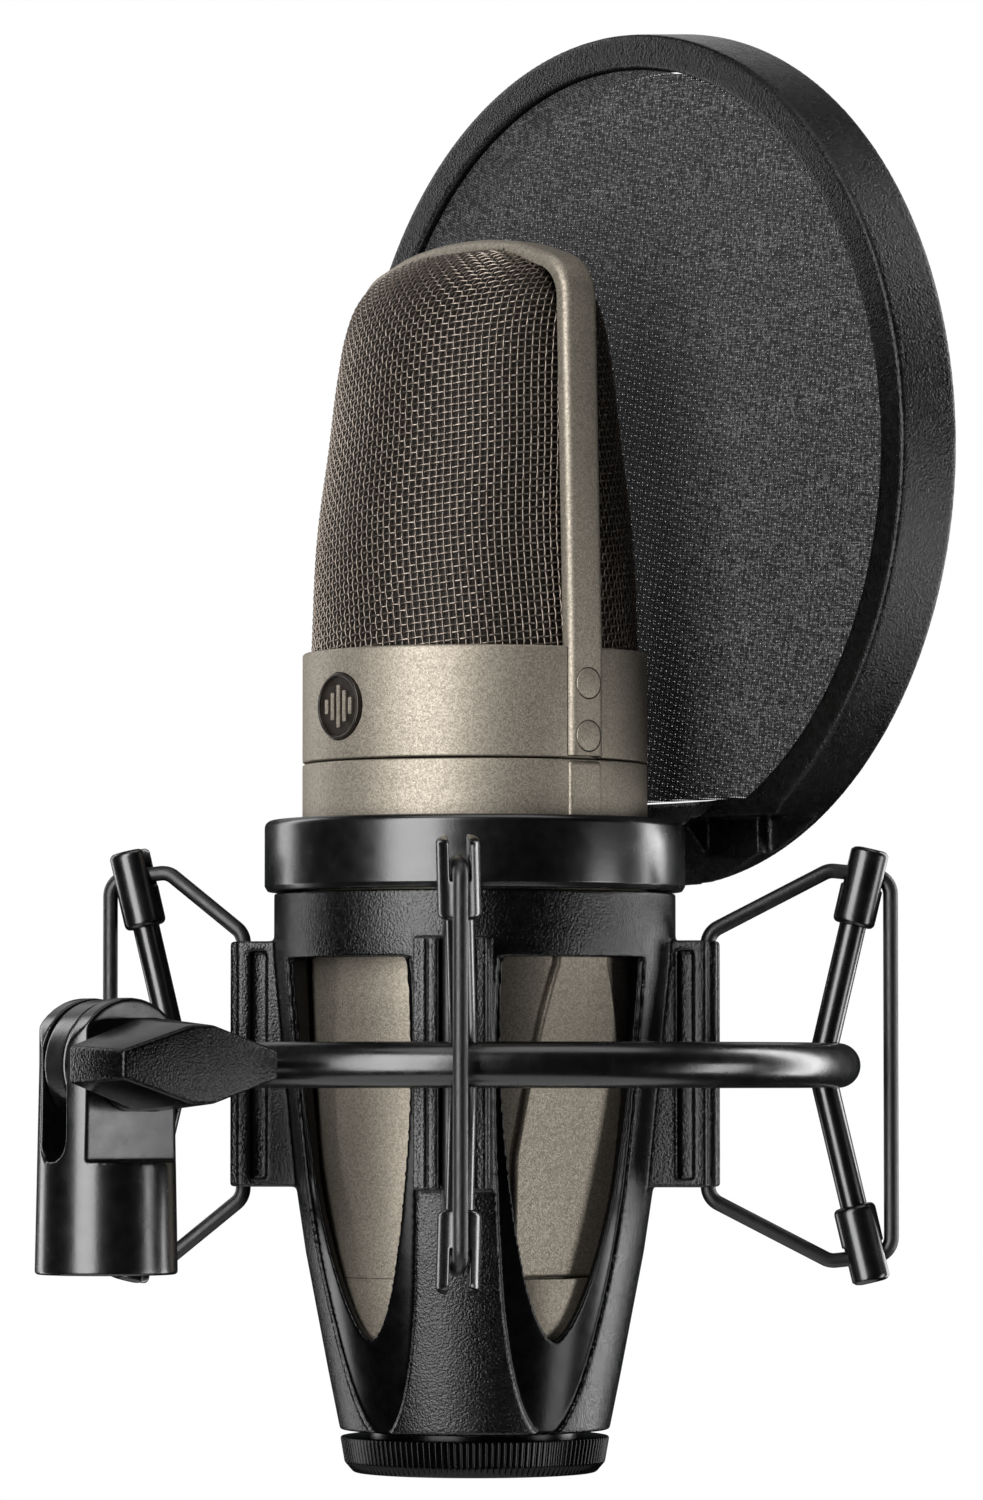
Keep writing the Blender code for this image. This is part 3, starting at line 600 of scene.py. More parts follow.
def rounded(corners, steps=4, closed=True):
    """An outline with an arc at each corner that gives a third number, its radius."""
    path = []
    for i, (a, b, *radius) in enumerate(corners):
        corner = Vector((a, b))
        if not radius or radius[0] <= 0 or not closed and i in (0, len(corners) - 1):
            path.append(corner)
            continue
        back = (Vector(corners[i - 1][:2]) - corner).normalized()
        ahead = (Vector(corners[(i + 1) % len(corners)][:2]) - corner).normalized()
        half = back.angle(ahead) / 2
        centre = corner + (back + ahead).normalized() * radius[0] / sin(half)
        first = (corner + back * radius[0] / tan(half) - centre).normalized()
        last = (corner + ahead * radius[0] / tan(half) - centre).normalized()
        path += [centre + first.slerp(last, k / steps) * radius[0] for k in range(steps + 1)]
    return path


def divided(path, step, closed=True):
    """The path with its long stretches divided into parts of at least this step."""
    found = []
    for i, point in enumerate(path if closed else path[:-1]):
        gap = path[(i + 1) % len(path)] - point
        parts = max(1, int(gap.length / step))
        found += [point + gap * k / parts for k in range(parts)]
    return found if closed else [*found, path[-1]]


def grid_faces(rows, columns, wrap_rows, wrap_columns):
    index = np.arange(rows * columns).reshape(rows, columns)
    if wrap_rows:
        index = np.vstack([index, index[:1]])
    if wrap_columns:
        index = np.hstack([index, index[:, :1]])
    corners = (index[:-1, :-1], index[:-1, 1:], index[1:, 1:], index[1:, :-1])
    return np.stack(corners, axis=-1).reshape(-1, 4)


def mesh_of(points, faces):
    mesh = bpy.data.meshes.new("work")
    corners = [[int(i) for i in face] for face in faces]
    mesh.from_pydata(np.asarray(points, float).reshape(-1, 3).tolist(), [], corners)
    mesh.update()
    return mesh


def lathe(outline_at, steps):
    """A solid round Z. outline_at gives the closed outline of (radius, height) at each angle."""
    turns = [tau * k / steps for k in range(steps)]
    points = [[(r * cos(t), r * sin(t), z) for r, z in outline_at(t)] for t in turns]
    return mesh_of(points, grid_faces(steps, len(points[0]), True, True))


def turned(corners, steps=128, arc=4):
    outline = rounded(corners, arc)
    return lathe(lambda _: outline, steps)


def prism(outline, low, high, axis="Z"):
    """Extrudes an outline along an axis: (y, z) for X, (x, z) for Y and (x, y) for Z."""
    place_point = {
        "X": lambda a, b, c: (c, a, b),
        "Y": lambda a, b, c: (a, c, b),
        "Z": lambda a, b, c: (a, b, c),
    }[axis]
    count = len(outline)
    points = [place_point(a, b, c) for c in (low, high) for a, b in outline]
    sides = [(i, (i + 1) % count, (i + 1) % count + count, i + count) for i in range(count)]
    return faced_out(mesh_of(points, [range(count), range(count, 2 * count), *sides]))


def circle(radius, steps=48, a=0.0, b=0.0, start=0.0, sweep=tau):
    last = steps if sweep == tau else steps - 1
    turns = [start + sweep * i / last for i in range(steps)]
    return [(a + radius * cos(t), b + radius * sin(t)) for t in turns]


def block(low, high):
    (x0, y0, z0), (x1, y1, z1) = low, high
    return prism([(x0, y0), (x1, y0), (x1, y1), (x0, y1)], z0, z1)


def along(mesh, axis):
    """Lays a shape that stands on Z along X or Y instead."""
    turns = {"X": Matrix.Rotation(pi / 2, 4, "Y"), "Y": Matrix.Rotation(-pi / 2, 4, "X")}
    mesh.transform(turns[axis])
    return mesh


def rotated(mesh, angle):
    mesh.transform(Matrix.Rotation(angle, 4, "Z"))
    return mesh


def tube(path, radius, sides, closed=False):
    """The rings and faces of a round tube along a path, turned as little as possible on the way."""
    path = [Vector(p) for p in path]
    count = len(path)
    ahead = []
    for i in range(count):
        before = path[i - 1] if closed or i else path[i]
        after = path[(i + 1) % count] if closed or i < count - 1 else path[i]
        ahead.append((after - before).normalized())
    side = ahead[0].orthogonal().normalized()
    rings = []
    for point, forward in zip(path, ahead):
        side = (side - forward * side.dot(forward)).normalized()
        up = forward.cross(side)
        rings.append([
            point + (side * cos(t) + up * sin(t)) * radius
            for t in (tau * k / sides for k in range(sides))
        ])
    faces = [list(f) for f in grid_faces(count, sides, closed, True)]
    if not closed:
        faces += [list(range(sides)), list(range((count - 1) * sides, count * sides))]
    return rings, faces


# Stand adapter, swivel and knob

def stand_adapter():
    top = SWIVEL_Z + ADAPTER_TOP_R + 2 * PAST
    body = turned([
        (SOCKET_R, 0, 0.3), (ADAPTER_FOOT_R, 0, 0.4), (ADAPTER_TOP_R, SWIVEL_Z), (ADAPTER_TOP_R, top),
        (0, top), (0, SOCKET_DEPTH), (SOCKET_R, SOCKET_DEPTH),
    ], 160)
    crown = [(-FAR, -PAST), (FAR, -PAST), (FAR, FORK_FLOOR_Z + 1), (CROWN_R, SWIVEL_Z)]
    crown += circle(CROWN_R, 49, 0, SWIVEL_Z, 0, pi)[1:-1]
    crown += [(-CROWN_R, SWIVEL_Z), (-FAR, FORK_FLOOR_Z + 1)]
    body = carved(body, prism(crown, -FAR, FAR, "X"), operation="INTERSECT")
    bottom = circle(FORK_HALF_SLOT, 25, 0, FORK_FLOOR_Z + FORK_HALF_SLOT, pi, pi)
    slot = [(-FORK_HALF_SLOT, top + PAST), *bottom, (FORK_HALF_SLOT, top + PAST)]
    body = carved(
        body,
        prism(slot, -FAR, FAR, "Y"),
        block((-FAR, -FAR, FORK_FLOOR_Z), (-FORK_FLAT_X, FAR, top + PAST)),
        block((FORK_FLAT_X, -FAR, FORK_FLOOR_Z), (FAR, FAR, top + PAST)),
        prism(circle(BOLT_BORE_R, 32, 0, SWIVEL_Z), -FAR, FAR, "X"),
    )
    body = softened(body, 0.24, 6)
    piece("fork_adapter", body, ROW, "stand", *BLACK, ["stand_adapter"], 180)


def socket_thread():
    """The brass insert with the grooves of its 5/8 inch thread."""
    bore, root, low, high, pitch = THREAD.values()
    outline = [(SOCKET_R - GAP, high, 0.1), (SOCKET_R - GAP, low, 0.3)]
    turns = int((high - low - 0.8) / pitch)
    outline += [(bore + 0.5, low)]
    for k in range(turns):
        foot = low + 0.4 + k * pitch
        outline += [(bore, foot + 0.1), (bore, foot + 0.3), (root, foot + 0.6), (root, foot + 0.75)]
    outline += [(bore, high)]
    piece("threaded_insert", turned(outline, 96), ROW, "stand", ["brass"], "brass", ["thread_insert"], 30)


def wing_outline(size):
    """Eight corners: a flat top and foot, and a slope down to each narrow end."""
    flat, middle, half, end = size["flat"], size["middle"], size["half"], size["end"]
    upper = [(half, end), (flat, middle), (-flat, middle), (-half, end)]
    return upper + [(-a, -b) for a, b in upper]


def wing_knob():
    """A wing whose outer face rises to a slight ridge down the middle. Its top and foot are smooth."""
    base, face = wing_outline(KNOB_BASE), wing_outline(KNOB_FACE)
    ridge = -KNOB_FACE_X
    points = [(-KNOB_BASE_X, a, b) for a, b in base]
    points += [(ridge + KNOB_RIDGE_SLOPE * abs(a), a, b) for a, b in face]
    points += [(ridge, 0, KNOB_FACE["middle"]), (ridge, 0, -KNOB_FACE["middle"])]
    sides = [(i, (i + 1) % 8, (i + 1) % 8 + 8, i + 8) for i in range(8) if i not in (1, 5)]
    sides += [(1, 2, 10, 16, 9), (5, 6, 14, 17, 13)]
    ends = [range(8), (8, 9, 16, 17, 14, 15), (16, 10, 11, 12, 13, 17)]
    wing = bevelled(faced_out(mesh_of(points, [*ends, *sides])), 0.6, 4, 6)
    low, high = KNOB_HUB_X, KNOB_BASE_X + PAST
    hub = turned([(0, low), (KNOB_HUB_R, low, 0.4), (KNOB_HUB_R, high), (0, high)], 96)
    hub.transform(Matrix.Rotation(-pi / 2, 4, "Y"))
    wing = carved(wing, hub, operation="UNION")
    wing = carved(wing, prism(circle(KNOB_NUT_SEAT_R, 48), KNOB_NUT_SEAT_X, 0, "X"))
    looks = ["knob_plastic", "cradle_smooth"]
    made = piece("wing_handle", wing, SWIVEL, "knob", looks, "black_plastic", ["wing_knob"], 32)
    for face in made.data.polygons:
        face.material_index = int(abs(face.normal[2]) > 0.9 and abs(face.normal[0]) < 0.3)


# Ring, posts and bands

def hoop():
    outline = circle(RING_TUBE_R, 40, RING_R, 0)
    round_rod = lathe(lambda _: outline, 288)
    piece("ring", round_rod, RING, "ring", ["satin_black"], "ring_metal", ["ring_hoop"], 180)


def hinge_tab():
    ring_y = (RING.translation - SWIVEL.translation)[1] + RING_R
    disc = turned([(0, -TAB_HALF), (TAB_R, -TAB_HALF, 0.5), (TAB_R, TAB_HALF, 0.5), (0, TAB_HALF)], 96)
    disc = along(disc, "X")
    neck = block((-TAB_HALF, ring_y - 1, -RING_TUBE_R), (TAB_HALF, -TAB_R / 2, RING_TUBE_R))
    tab = carved(disc, neck, operation="UNION")
    tools = [prism(circle(BOLT_BORE_R, 32), -FAR, FAR, "X")]
    for side in (-1, 1):
        near, far = sorted((side * (TAB_HALF - WASHER_SEAT), side * FAR))
        tools.append(prism(circle(WASHER_R + GAP, 64), near, far, "X"))
    tab = softened(carved(tab, *tools), 0.22, 5)
    piece("swivel_tab", tab, SWIVEL, "ring", *BLACK, ["hinge_tab"], 180)


def band_ends(azimuth):
    """Where a band's inner run and outer run stand, about the microphone's axis."""
    ray = Vector((cos(radians(azimuth)), sin(radians(azimuth))))
    inner, cap = ray * BAND_EAR_R, ray * BAND_CAP_R - Vector((0, RING_OFFSET))
    return inner, cap + (cap - inner).normalized() * BAND_PAST_CAP


def post(number, azimuth, up):
    """A leaning rod on the ring, and the slotted cap on its end."""
    row = "upper" if up else "lower"
    turn = (0, POST_LEAN if up else pi - POST_LEAN, radians(azimuth))
    foot = Vector((cos(turn[2]), sin(turn[2]), 0)) * POST_FOOT_R
    lean = Matrix.Rotation(turn[2], 4, "Z") @ Matrix.Rotation(turn[1], 4, "Y")
    where = RING @ Matrix.Translation(foot) @ lean
    low, high = ROD_LENGTHS
    rod = turned([(0, low), (ROD_R, low), (ROD_R, high, 0.3), (0, high)], 40)
    piece(f"{row}_post_{number}", rod, where, "ring", *BLACK, [f"{row}_rod_{number}"])
    inner, outer = band_ends(azimuth)
    skew = radians(azimuth) - atan2(*reversed(outer - inner))
    low, high = CAP_LENGTHS
    cap = turned([(0, high), (CAP_R, high, 0.9), (CAP_R, low, 0.9), (0, low)], 72, 6)
    half = BAND_R + GAP
    slot = block((-CAP_R - 2, -half, CAP_SLOT_FLOOR), (CAP_R + 2, half, FAR))
    cap = softened(carved(cap, rotated(slot, -skew if up else skew)), 0.16, 4)
    node = f"{row}_cap_{number}"
    piece(f"{row}_post_cap_{number}", cap, where, "ring", *BLACK, [node], 180)


def elastic_band(number, azimuth):
    """A closed elastic loop through two caps and the ear of the cradle."""
    inner, outer = band_ends(azimuth)
    shoulder = outer + (inner - outer).normalized() * BAND_SHOULDER_BACK
    half = [(inner, BAND_EAR_RISE), (shoulder, BAND_SHOULDER_RISE), (outer, BAND_OUTER_RISE)]
    out = (outer - inner).normalized()
    flat = [((at - inner).dot(out), RING_Z + rise, BAND_CORNER_R) for at, rise in half]
    flat += [(a, 2 * RING_Z - b, radius) for a, b, radius in reversed(flat)]
    spots = [Vector((*(inner + out * a), b)) for a, b in divided(rounded(flat, 10), 1.5)]
    rings, faces = tube(spots, BAND_R, 16, closed=True)
    made = piece(
        f"elastic_loop_{number}", mesh_of(rings, faces), MIC, None, ["elastic"], "elastic",
        [f"elastic_band_{number}"], 180,
    )
    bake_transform(made)


# Cradle, base nut and collar

def pointed_outline(size):
    """Straight across the top, and narrowing to a rounded point at the foot."""
    steps, tall = 40, size["top"] - size["foot"]
    side = []
    for i in range(1, steps + 1):
        t = (i / steps) ** 1.8
        side.append((size["half"] * (1 - (1 - t) ** 2) ** size["power"], size["foot"] + tall * t))
    return [(0, size["foot"]), *side, *((-a, b) for a, b in reversed(side))]


def cradle_ears():
    """The four ears, and the tools that cut their grooves, steps and side recesses."""
    ears, tools = [], []
    half = BAND_R + GAP
    foot, top = EAR_FOOT_R
    for azimuth in POST_AZIMUTHS:
        turn = radians(azimuth)
        side = [(foot, EAR_Z[0]), (EAR_R, EAR_Z[0]), (EAR_R, EAR_Z[1]), (top, EAR_Z[1])]
        ears.append(rotated(prism(side, -EAR_HALF, EAR_HALF, "Y"), turn))
        tools.append(rotated(block((EAR_GROOVE_R, -half, 0), (FAR, half, FAR * 2)), turn))
        for side in (-1, 1):
            ridge, step = side * EAR_RIDGE["half"], side * EAR_RIDGE["foot"]
            low, high = EAR_R - EAR_RIDGE["height"], EAR_R + PAST
            channel = [(high, ridge), (EAR_R, ridge), (low, step), (low, side * FAR), (high, side * FAR)]
            tools.append(rotated(prism(channel, 0, FAR * 2), turn))
            near, far = sorted((step, side * FAR))
            recess = block((EAR_RECESS_R, near, EAR_RECESS_Z[0]), (EAR_GROOVE_R, far, EAR_RECESS_Z[1]))
            tools.append(rotated(recess, turn))
    return ears, tools


def scallop_faces(mesh):
    """Which faces of the placed cradle lie on the sunk, smooth floor of a scallop."""
    centres = np.zeros(len(mesh.polygons) * 3, np.float32)
    mesh.polygons.foreach_get("center", centres)
    x, y, z = (centres.reshape(-1, 3) - np.array(MIC_AT)).T / MM
    c, s = cos(WINDOW_TURN), sin(WINDOW_TURN)
    across = np.minimum(abs(c * x + s * y), abs(c * y + s * x))
    rise = np.clip((z - SCALLOP["foot"]) / (SCALLOP["top"] - SCALLOP["foot"]), 0, 1)
    within = across < SCALLOP["half"] * (1 - (1 - rise) ** 2) ** SCALLOP["power"]
    radii, heights = zip(*CRADLE_OUTSIDE)
    return within & (np.hypot(x, y) < np.interp(z, heights, radii) - SCALLOP_DEPTH / 2)


def cradle():
    """The basket: its wall, four ears, and four windows, each in a sunk, pointed scallop."""
    inside = [CRADLE_THROAT, *((r - CRADLE_WALL, z) for r, z in reversed(CRADLE_OUTSIDE[1:5]))]
    shell = turned([*CRADLE_OUTSIDE, *CRADLE_LIP, *inside, *CRADLE_FLANGE], 192)
    ears, grooves = cradle_ears()
    shell = carved(shell, *ears, operation="UNION")
    scallop_floor = [(r - SCALLOP_DEPTH, z) for r, z in CRADLE_OUTSIDE]
    core = [*scallop_floor, (0, CRADLE_OUTSIDE[-1][1]), (0, CRADLE_OUTSIDE[0][1])]
    scallops, windows = [], []
    for axis, turn in (("X", -WINDOW_TURN), ("Y", WINDOW_TURN)):
        tool = rotated(prism(pointed_outline(SCALLOP), -FAR, FAR, axis), turn)
        scallops.append(carved(tool, turned(core, 192)))
        windows.append(rotated(prism(pointed_outline(WINDOW), -FAR, FAR, axis), turn))
    shell = carved(shell, *grooves, *scallops, *windows)
    # The remesh runs along X and Y, so the shell is turned until its ears do too
    shell = rotated(softened(rotated(shell, pi / 4), CRADLE_VOXEL, 12), -pi / 4)
    looks = ["cradle_grain", "cradle_smooth"]
    made = piece("cradle_basket", shell, MIC, "cradle", looks, "cradle_plastic", ["cradle"], 180)
    made.data.polygons.foreach_set("material_index", scallop_faces(made.data).astype(np.int32))


def base_nut():
    """A thin nut with fine ridges round its rim."""
    rim_z, top_z = 5.6, 6.3
    outline = rounded([
        (NUT_BORE_R, 0, 0.3), (18.9, 0, 0.8), (20.3, 1.6, 1.0), (21.0, rim_z, 0.35),
        (17.0, rim_z), (17.0, top_z), (NUT_BORE_R, top_z),
    ], 5)

    def outline_at(turn):
        wave = NUT_RIDGE_DEPTH * (0.5 + 0.5 * cos(NUT_RIDGES * turn)) ** 1.4
        return [
            (r - wave * min(1.0, max(0.0, (r - NUT_RIDGED_R) / 0.5)) * (z < rim_z - 0.1), z)
            for r, z in outline
        ]

    nut = lathe(outline_at, NUT_RIDGES * 6)
    piece("ridged_base_nut", nut, MIC, "base_nut", ["cradle_smooth"], "black_plastic", ["base_nut"], 60)


def collar():
    """The pop filter's ring round the cradle. Its top edge is softer towards the filter."""
    low, high = COLLAR_Z

    def outline_at(turn):
        towards_filter = max(0.0, (-sin(turn) - 0.6) / 0.4)
        share = towards_filter * towards_filter * (3 - 2 * towards_filter)
        top = 1.2 + 2.6 * share
        return rounded([
            (COLLAR_BORE_R, low, 0.3), (COLLAR_R - 0.5, low, 0.3), (COLLAR_R, low + 0.8, 0.4),
            (COLLAR_R, high, top), (COLLAR_BORE_R, high, 0.5),
        ], 8)

    ring = lathe(outline_at, 256)
    piece("filter_collar", ring, MIC, "pop_filter", *BLACK, ["pop_filter_collar"], 60)


# Microphone

def tail_cup():
    corners = [
        (9.6, 0.8, 0.3), (13.0, 0.8, 0.4), (13.0, 8.7), (18.4, 8.7, 1.0), (19.5, 12.0), (22.0, 24.0),
        (22.87, 30.44, 0.08), (21.3, 30.44), (20.4, 24.0), (18.0, 13.0), (9.6, 13.0),
    ]
    piece("tail_shell", turned(corners, 160), MIC, "cradle", *CHAMPAGNE, ["tail_cup"])


def flat_at(height):
    """How far the sloping flats stand from the axis."""
    return float(np.interp(height, *FLATS))


def housing_pad(side):
    """A raised pad as wide as the flat under it, with a soft edge."""
    heights = np.linspace(*PAD_Z, 90)
    radii, levels = zip(*HOUSING_OUTSIDE)
    rows = []
    for z in heights:
        radius, face = float(np.interp(z, levels, radii)), flat_at(z)
        half = max(sqrt(max(radius**2 - face**2, 0.0)) - 0.1, 1.0)
        inner, outer = side * (face - 1.0), side * (face + float(np.interp(z, *PAD_PROUD)))
        rows.append([(inner, -half, z), (outer, -half, z), (outer, half, z), (inner, half, z)])
    faces = [list(f) for f in grid_faces(len(heights), 4, False, True)]
    faces += [[0, 1, 2, 3], [4 * len(heights) - 4 + k for k in range(4)]]
    return bevelled(faced_out(mesh_of(rows, faces)), 0.6, 6, 40)


def lower_housing():
    """The tapering body, with a sloping flat down each side and a pad on it."""
    foot, lower, upper, *straight, top = HOUSING_OUTSIDE
    outline = divided(rounded([
        (*foot, 0.08), (*lower, 40), (*upper, 60), *straight, (*top, 0.3),
        (BODY_BORE_R, top[1]), (BODY_BORE_R, 60.0), (19.0, 50.0), (19.0, foot[1]),
    ], 5), 1.5)

    def outline_at(turn):
        across = max(abs(cos(turn)), 1e-6)
        section = []
        for r, z in outline:
            flat = flat_at(z) / across
            gap = (r - flat) / FLAT_BLEND
            soft = r - FLAT_BLEND * log1p(exp(min(gap, 60.0))) if gap < 60 else flat
            section.append((soft if r > BODY_BORE_R - 0.2 or flat < r else r, z))
        return section

    shell = carved(lathe(outline_at, 512), housing_pad(-1), housing_pad(1), operation="UNION")
    piece("lower_shell", shell, MIC, "cradle", *CHAMPAGNE, ["lower_housing"], 50)


def grille_band():
    low, high = BAND_Z
    ring = turned([
        (BODY_BORE_R, low), (BODY_R, low, 0.3), (BODY_R, high, 0.45), (BODY_BORE_R, high),
    ], 256)
    inner, half = ARCH_FACE_X - ARCH_THICK - GAP, ARCH_HALF + GAP / 2
    ring = carved(
        ring,
        block((-FAR, -half, low - PAST), (-inner, half, high + PAST)),
        block((inner, -half, low - PAST), (FAR, half, high + PAST)),
        prism(circle(BADGE_R + GAP / 2, 64, 0, BADGE_Z), BADGE_SEAT_Y, FAR, "Y"),
    )
    piece("shoulder_band", ring, MIC, "cradle", *CHAMPAGNE, ["grille_band"], 25)


def badge():
    """A round badge with a plain raised rim and five level bars."""
    back, field, face = BADGE_Y
    inner = BADGE_R - BADGE_RIM
    rim = along(turned([
        (0, back), (BADGE_R, back), (BADGE_R, face, 0.25), (inner, face, 0.15), (inner, field), (0, field),
    ], 96), "Y")
    rim.transform(Matrix.Translation((0, 0, BADGE_Z)))
    piece("badge_disc", rim, MIC, "cradle", ["badge"], "badge", ["badge"], 30)
    for k, tall in enumerate(BADGE_BARS):
        x, half = (k - 2) * BADGE_BAR_PITCH, BADGE_BAR_HALF
        bar = block((x - half, field - 0.1, BADGE_Z - tall), (x + half, face - 0.1, BADGE_Z + tall))
        bar = bevelled(bar, 0.08, 2)
        piece(f"badge_bar_{k + 1}", bar, MIC, "cradle", ["champagne"], "badge")


def arch_path():
    mirror = [(-x, *rest) for x, *rest in reversed(ARCH_SIDE)]
    return divided(rounded([*ARCH_SIDE, ARCH_CROWN, *mirror], 10, closed=False), 1.2, closed=False)


def arch_frame():
    """The strip that runs up one side, over the grille and down the other."""
    path = arch_path()
    half, back = ARCH_HALF, -ARCH_THICK
    section = rounded([(0, half, 1.25), (0, -half, 1.25), (back, -half, 0.2), (back, half, 0.2)], 6)
    rows = []
    for i, point in enumerate(path):
        before, after = path[max(i - 1, 0)], path[min(i + 1, len(path) - 1)]
        ahead = (after - before).normalized()
        outward = Vector((ahead[1], -ahead[0]))
        rows.append([(*(point + outward * depth), across) for depth, across in section])
    points = [(x, y, z) for row in rows for x, z, y in row]
    count = len(section)
    faces = [list(f) for f in grid_faces(len(rows), count, False, True)]
    faces += [list(range(count)), list(range(len(points) - count, len(points)))]
    seats = []
    for side in (-1, 1):
        for height in COVER_Z:
            near, far = sorted((side * (ARCH_FACE_X - COVER_SEAT), side * FAR))
            seats.append(prism(circle(COVER_R + 0.16, 48, 0, height), near, far, "X"))
    strip = carved(mesh_of(points, faces), *seats)
    piece("side_arch", strip, MIC, "cradle", *CHAMPAGNE, ["arch_frame"], 30)


def screw_cover(name, side, row, height):
    """A flat disc over one of the arch's screws."""
    face = ARCH_FACE_X + COVER_PROUD
    disc = turned([(0, face - 0.6), (COVER_R, face - 0.6), (COVER_R, face, 0.2), (0, face)], 64)
    if side < 0:
        disc.transform(Matrix.Rotation(pi, 4, "X"))
    disc = along(disc, "X")
    disc.transform(Matrix.Translation((0, 0, height)))
    node = f"{name}_{row}_screw_cover"
    piece(f"{name}_{row}_cover", disc, MIC, "cradle", *CHAMPAGNE, [node], 30)


class Dome:
    """The surface of one grille half: half-ellipses that shrink towards the crown."""

    def __init__(self):
        heights, wide, deep = (np.array(column) for column in zip(*GRILLE_LEVELS))
        steps = np.hypot(np.diff(heights), np.diff(deep))
        self.stations = np.concatenate([[0], np.cumsum(steps)])
        self.columns = {"z": heights, "a": wide, "b": deep}

    def level(self, station, name):
        """A smooth curve through the levels, by a cubic between each two."""
        at, values = self.stations, self.columns[name]
        k = int(np.clip(np.searchsorted(at, station) - 1, 0, len(at) - 2))
        slopes = np.gradient(values, at)
        span = at[k + 1] - at[k]
        t = (station - at[k]) / span
        start, end = values[k], values[k + 1]
        bend = (2 * t**3 - 3 * t**2 + 1) * start + (3 * t**2 - 2 * t**3) * end
        return float(bend + span * ((t**3 - 2 * t**2 + t) * slopes[k] + (t**3 - t**2) * slopes[k + 1]))

    def row(self, station, inset):
        """Points across one level from the -X leg to the +X leg, and how far each is from the middle."""
        samples = 241
        a, b = self.level(station, "a") - inset, self.level(station, "b") - inset
        z = self.level(station, "z") - inset * (station / self.stations[-1]) ** 3
        first = asin(min(1.0, MESH_EDGE / max(b, MESH_EDGE)))
        turns = np.linspace(pi - first, first, samples)
        points = np.stack([a * np.cos(turns), b * np.sin(turns), np.full(samples, z)], axis=1)
        lengths = np.concatenate([[0], np.cumsum(np.linalg.norm(np.diff(points, axis=0), axis=1))])
        return points, lengths - lengths[-1] / 2


class Surface:
    """Points and outward normals over a grille half, at a length round it and a length up it."""

    PARTS = 160

    def __init__(self, dome, inset=0.0):
        self.total = float(dome.stations[-1])
        self.stations = np.linspace(0, self.total, self.PARTS + 1)
        self.halves, rows = [], []
        for station in self.stations:
            points, lengths = dome.row(station, inset)
            self.halves.append(lengths[-1])
            at = np.linspace(-1, 1, self.PARTS + 1) * lengths[-1]
            rows.append(np.stack([np.interp(at, lengths, points[:, axis]) for axis in range(3)], axis=1))
        self.halves, self.points = np.array(self.halves), np.array(rows)

    def half(self, up):
        return np.interp(up, self.stations, self.halves)

    def at(self, round_it, up):
        row = np.clip(up / self.total, 0, 1) * self.PARTS
        column = np.clip((round_it / self.half(up) + 1) / 2, 0, 1) * self.PARTS
        i, k = (np.minimum(spot.astype(int), self.PARTS - 1) for spot in (row, column))
        a, b = (row - i)[:, None], (column - k)[:, None]
        corner = self.points
        near = corner[i, k] * (1 - b) + corner[i, k + 1] * b
        far = corner[i + 1, k] * (1 - b) + corner[i + 1, k + 1] * b
        normal = np.cross(corner[i, k + 1] - corner[i, k], corner[i + 1, k] - corner[i, k])
        normal /= np.linalg.norm(normal, axis=1)[:, None]
        normal *= np.sign((normal * (near * [1, 1, 0] + [0, 0, 1])).sum(axis=1))[:, None]
        return near * (1 - a) + far * a, normal


def grille(name, node, turn):
    """Woven wire, its rows laid at a slight slope, over a fine dark gauze."""
    skin = Surface(Dome())
    reach = int(1.1 * (skin.halves.max() + skin.total) / MESH_PITCH)
    wires, faces, used = [], [], 0
    steps = np.arange(-2 * reach, 2 * reach + 1)
    for family in (0, 1):
        for wire in range(-reach, reach + 1):
            along_it, across_it = steps * MESH_PITCH / 2, np.full(len(steps), wire * MESH_PITCH)
            if family:
                along_it, across_it = across_it, along_it
            round_it = along_it * cos(MESH_TURN) + across_it * sin(MESH_TURN)
            up = -along_it * sin(MESH_TURN) + across_it * cos(MESH_TURN) + skin.total / 2
            inside = (up > 0) & (up < skin.total) & (abs(round_it) < skin.half(up))
            if inside.sum() < 3:
                continue
            points, normals = skin.at(round_it, up)
            wave = np.cos(pi * (steps / 2 + wire)) * (-1 if family else 1)
            points = points + normals * (0.95 * WIRE_R * wave)[:, None]
            breaks = np.flatnonzero(np.diff(inside.astype(int))) + 1
            for run in np.split(np.arange(len(steps)), breaks):
                if not inside[run[0]] or len(run) < 3:
                    continue
                rings, made = tube(points[run], WIRE_R, WIRE_SIDES)
                wires.extend(point for ring in rings for point in ring)
                faces.extend([[i + used for i in face] for face in made])
                used += len(rings) * WIRE_SIDES
    outer = len(faces)
    gauze = Surface(Dome(), GAUZE_INSET).points[::4, ::2]
    rows, columns = gauze.shape[:2]
    faces += [[int(i) + used for i in face] for face in grid_faces(rows, columns, False, False)]
    mesh = mesh_of(np.vstack([np.array(wires), gauze.reshape(-1, 3)]), faces)
    indices = np.zeros(len(faces), np.int32)
    indices[outer:] = 1
    where = MIC @ Matrix.Rotation(turn, 4, "Z")
    made = piece(name, mesh, where, "cradle", ["wire", "gauze"], "wire", [node], 180)
    made.data.polygons.foreach_set("material_index", indices)


# Pop filter

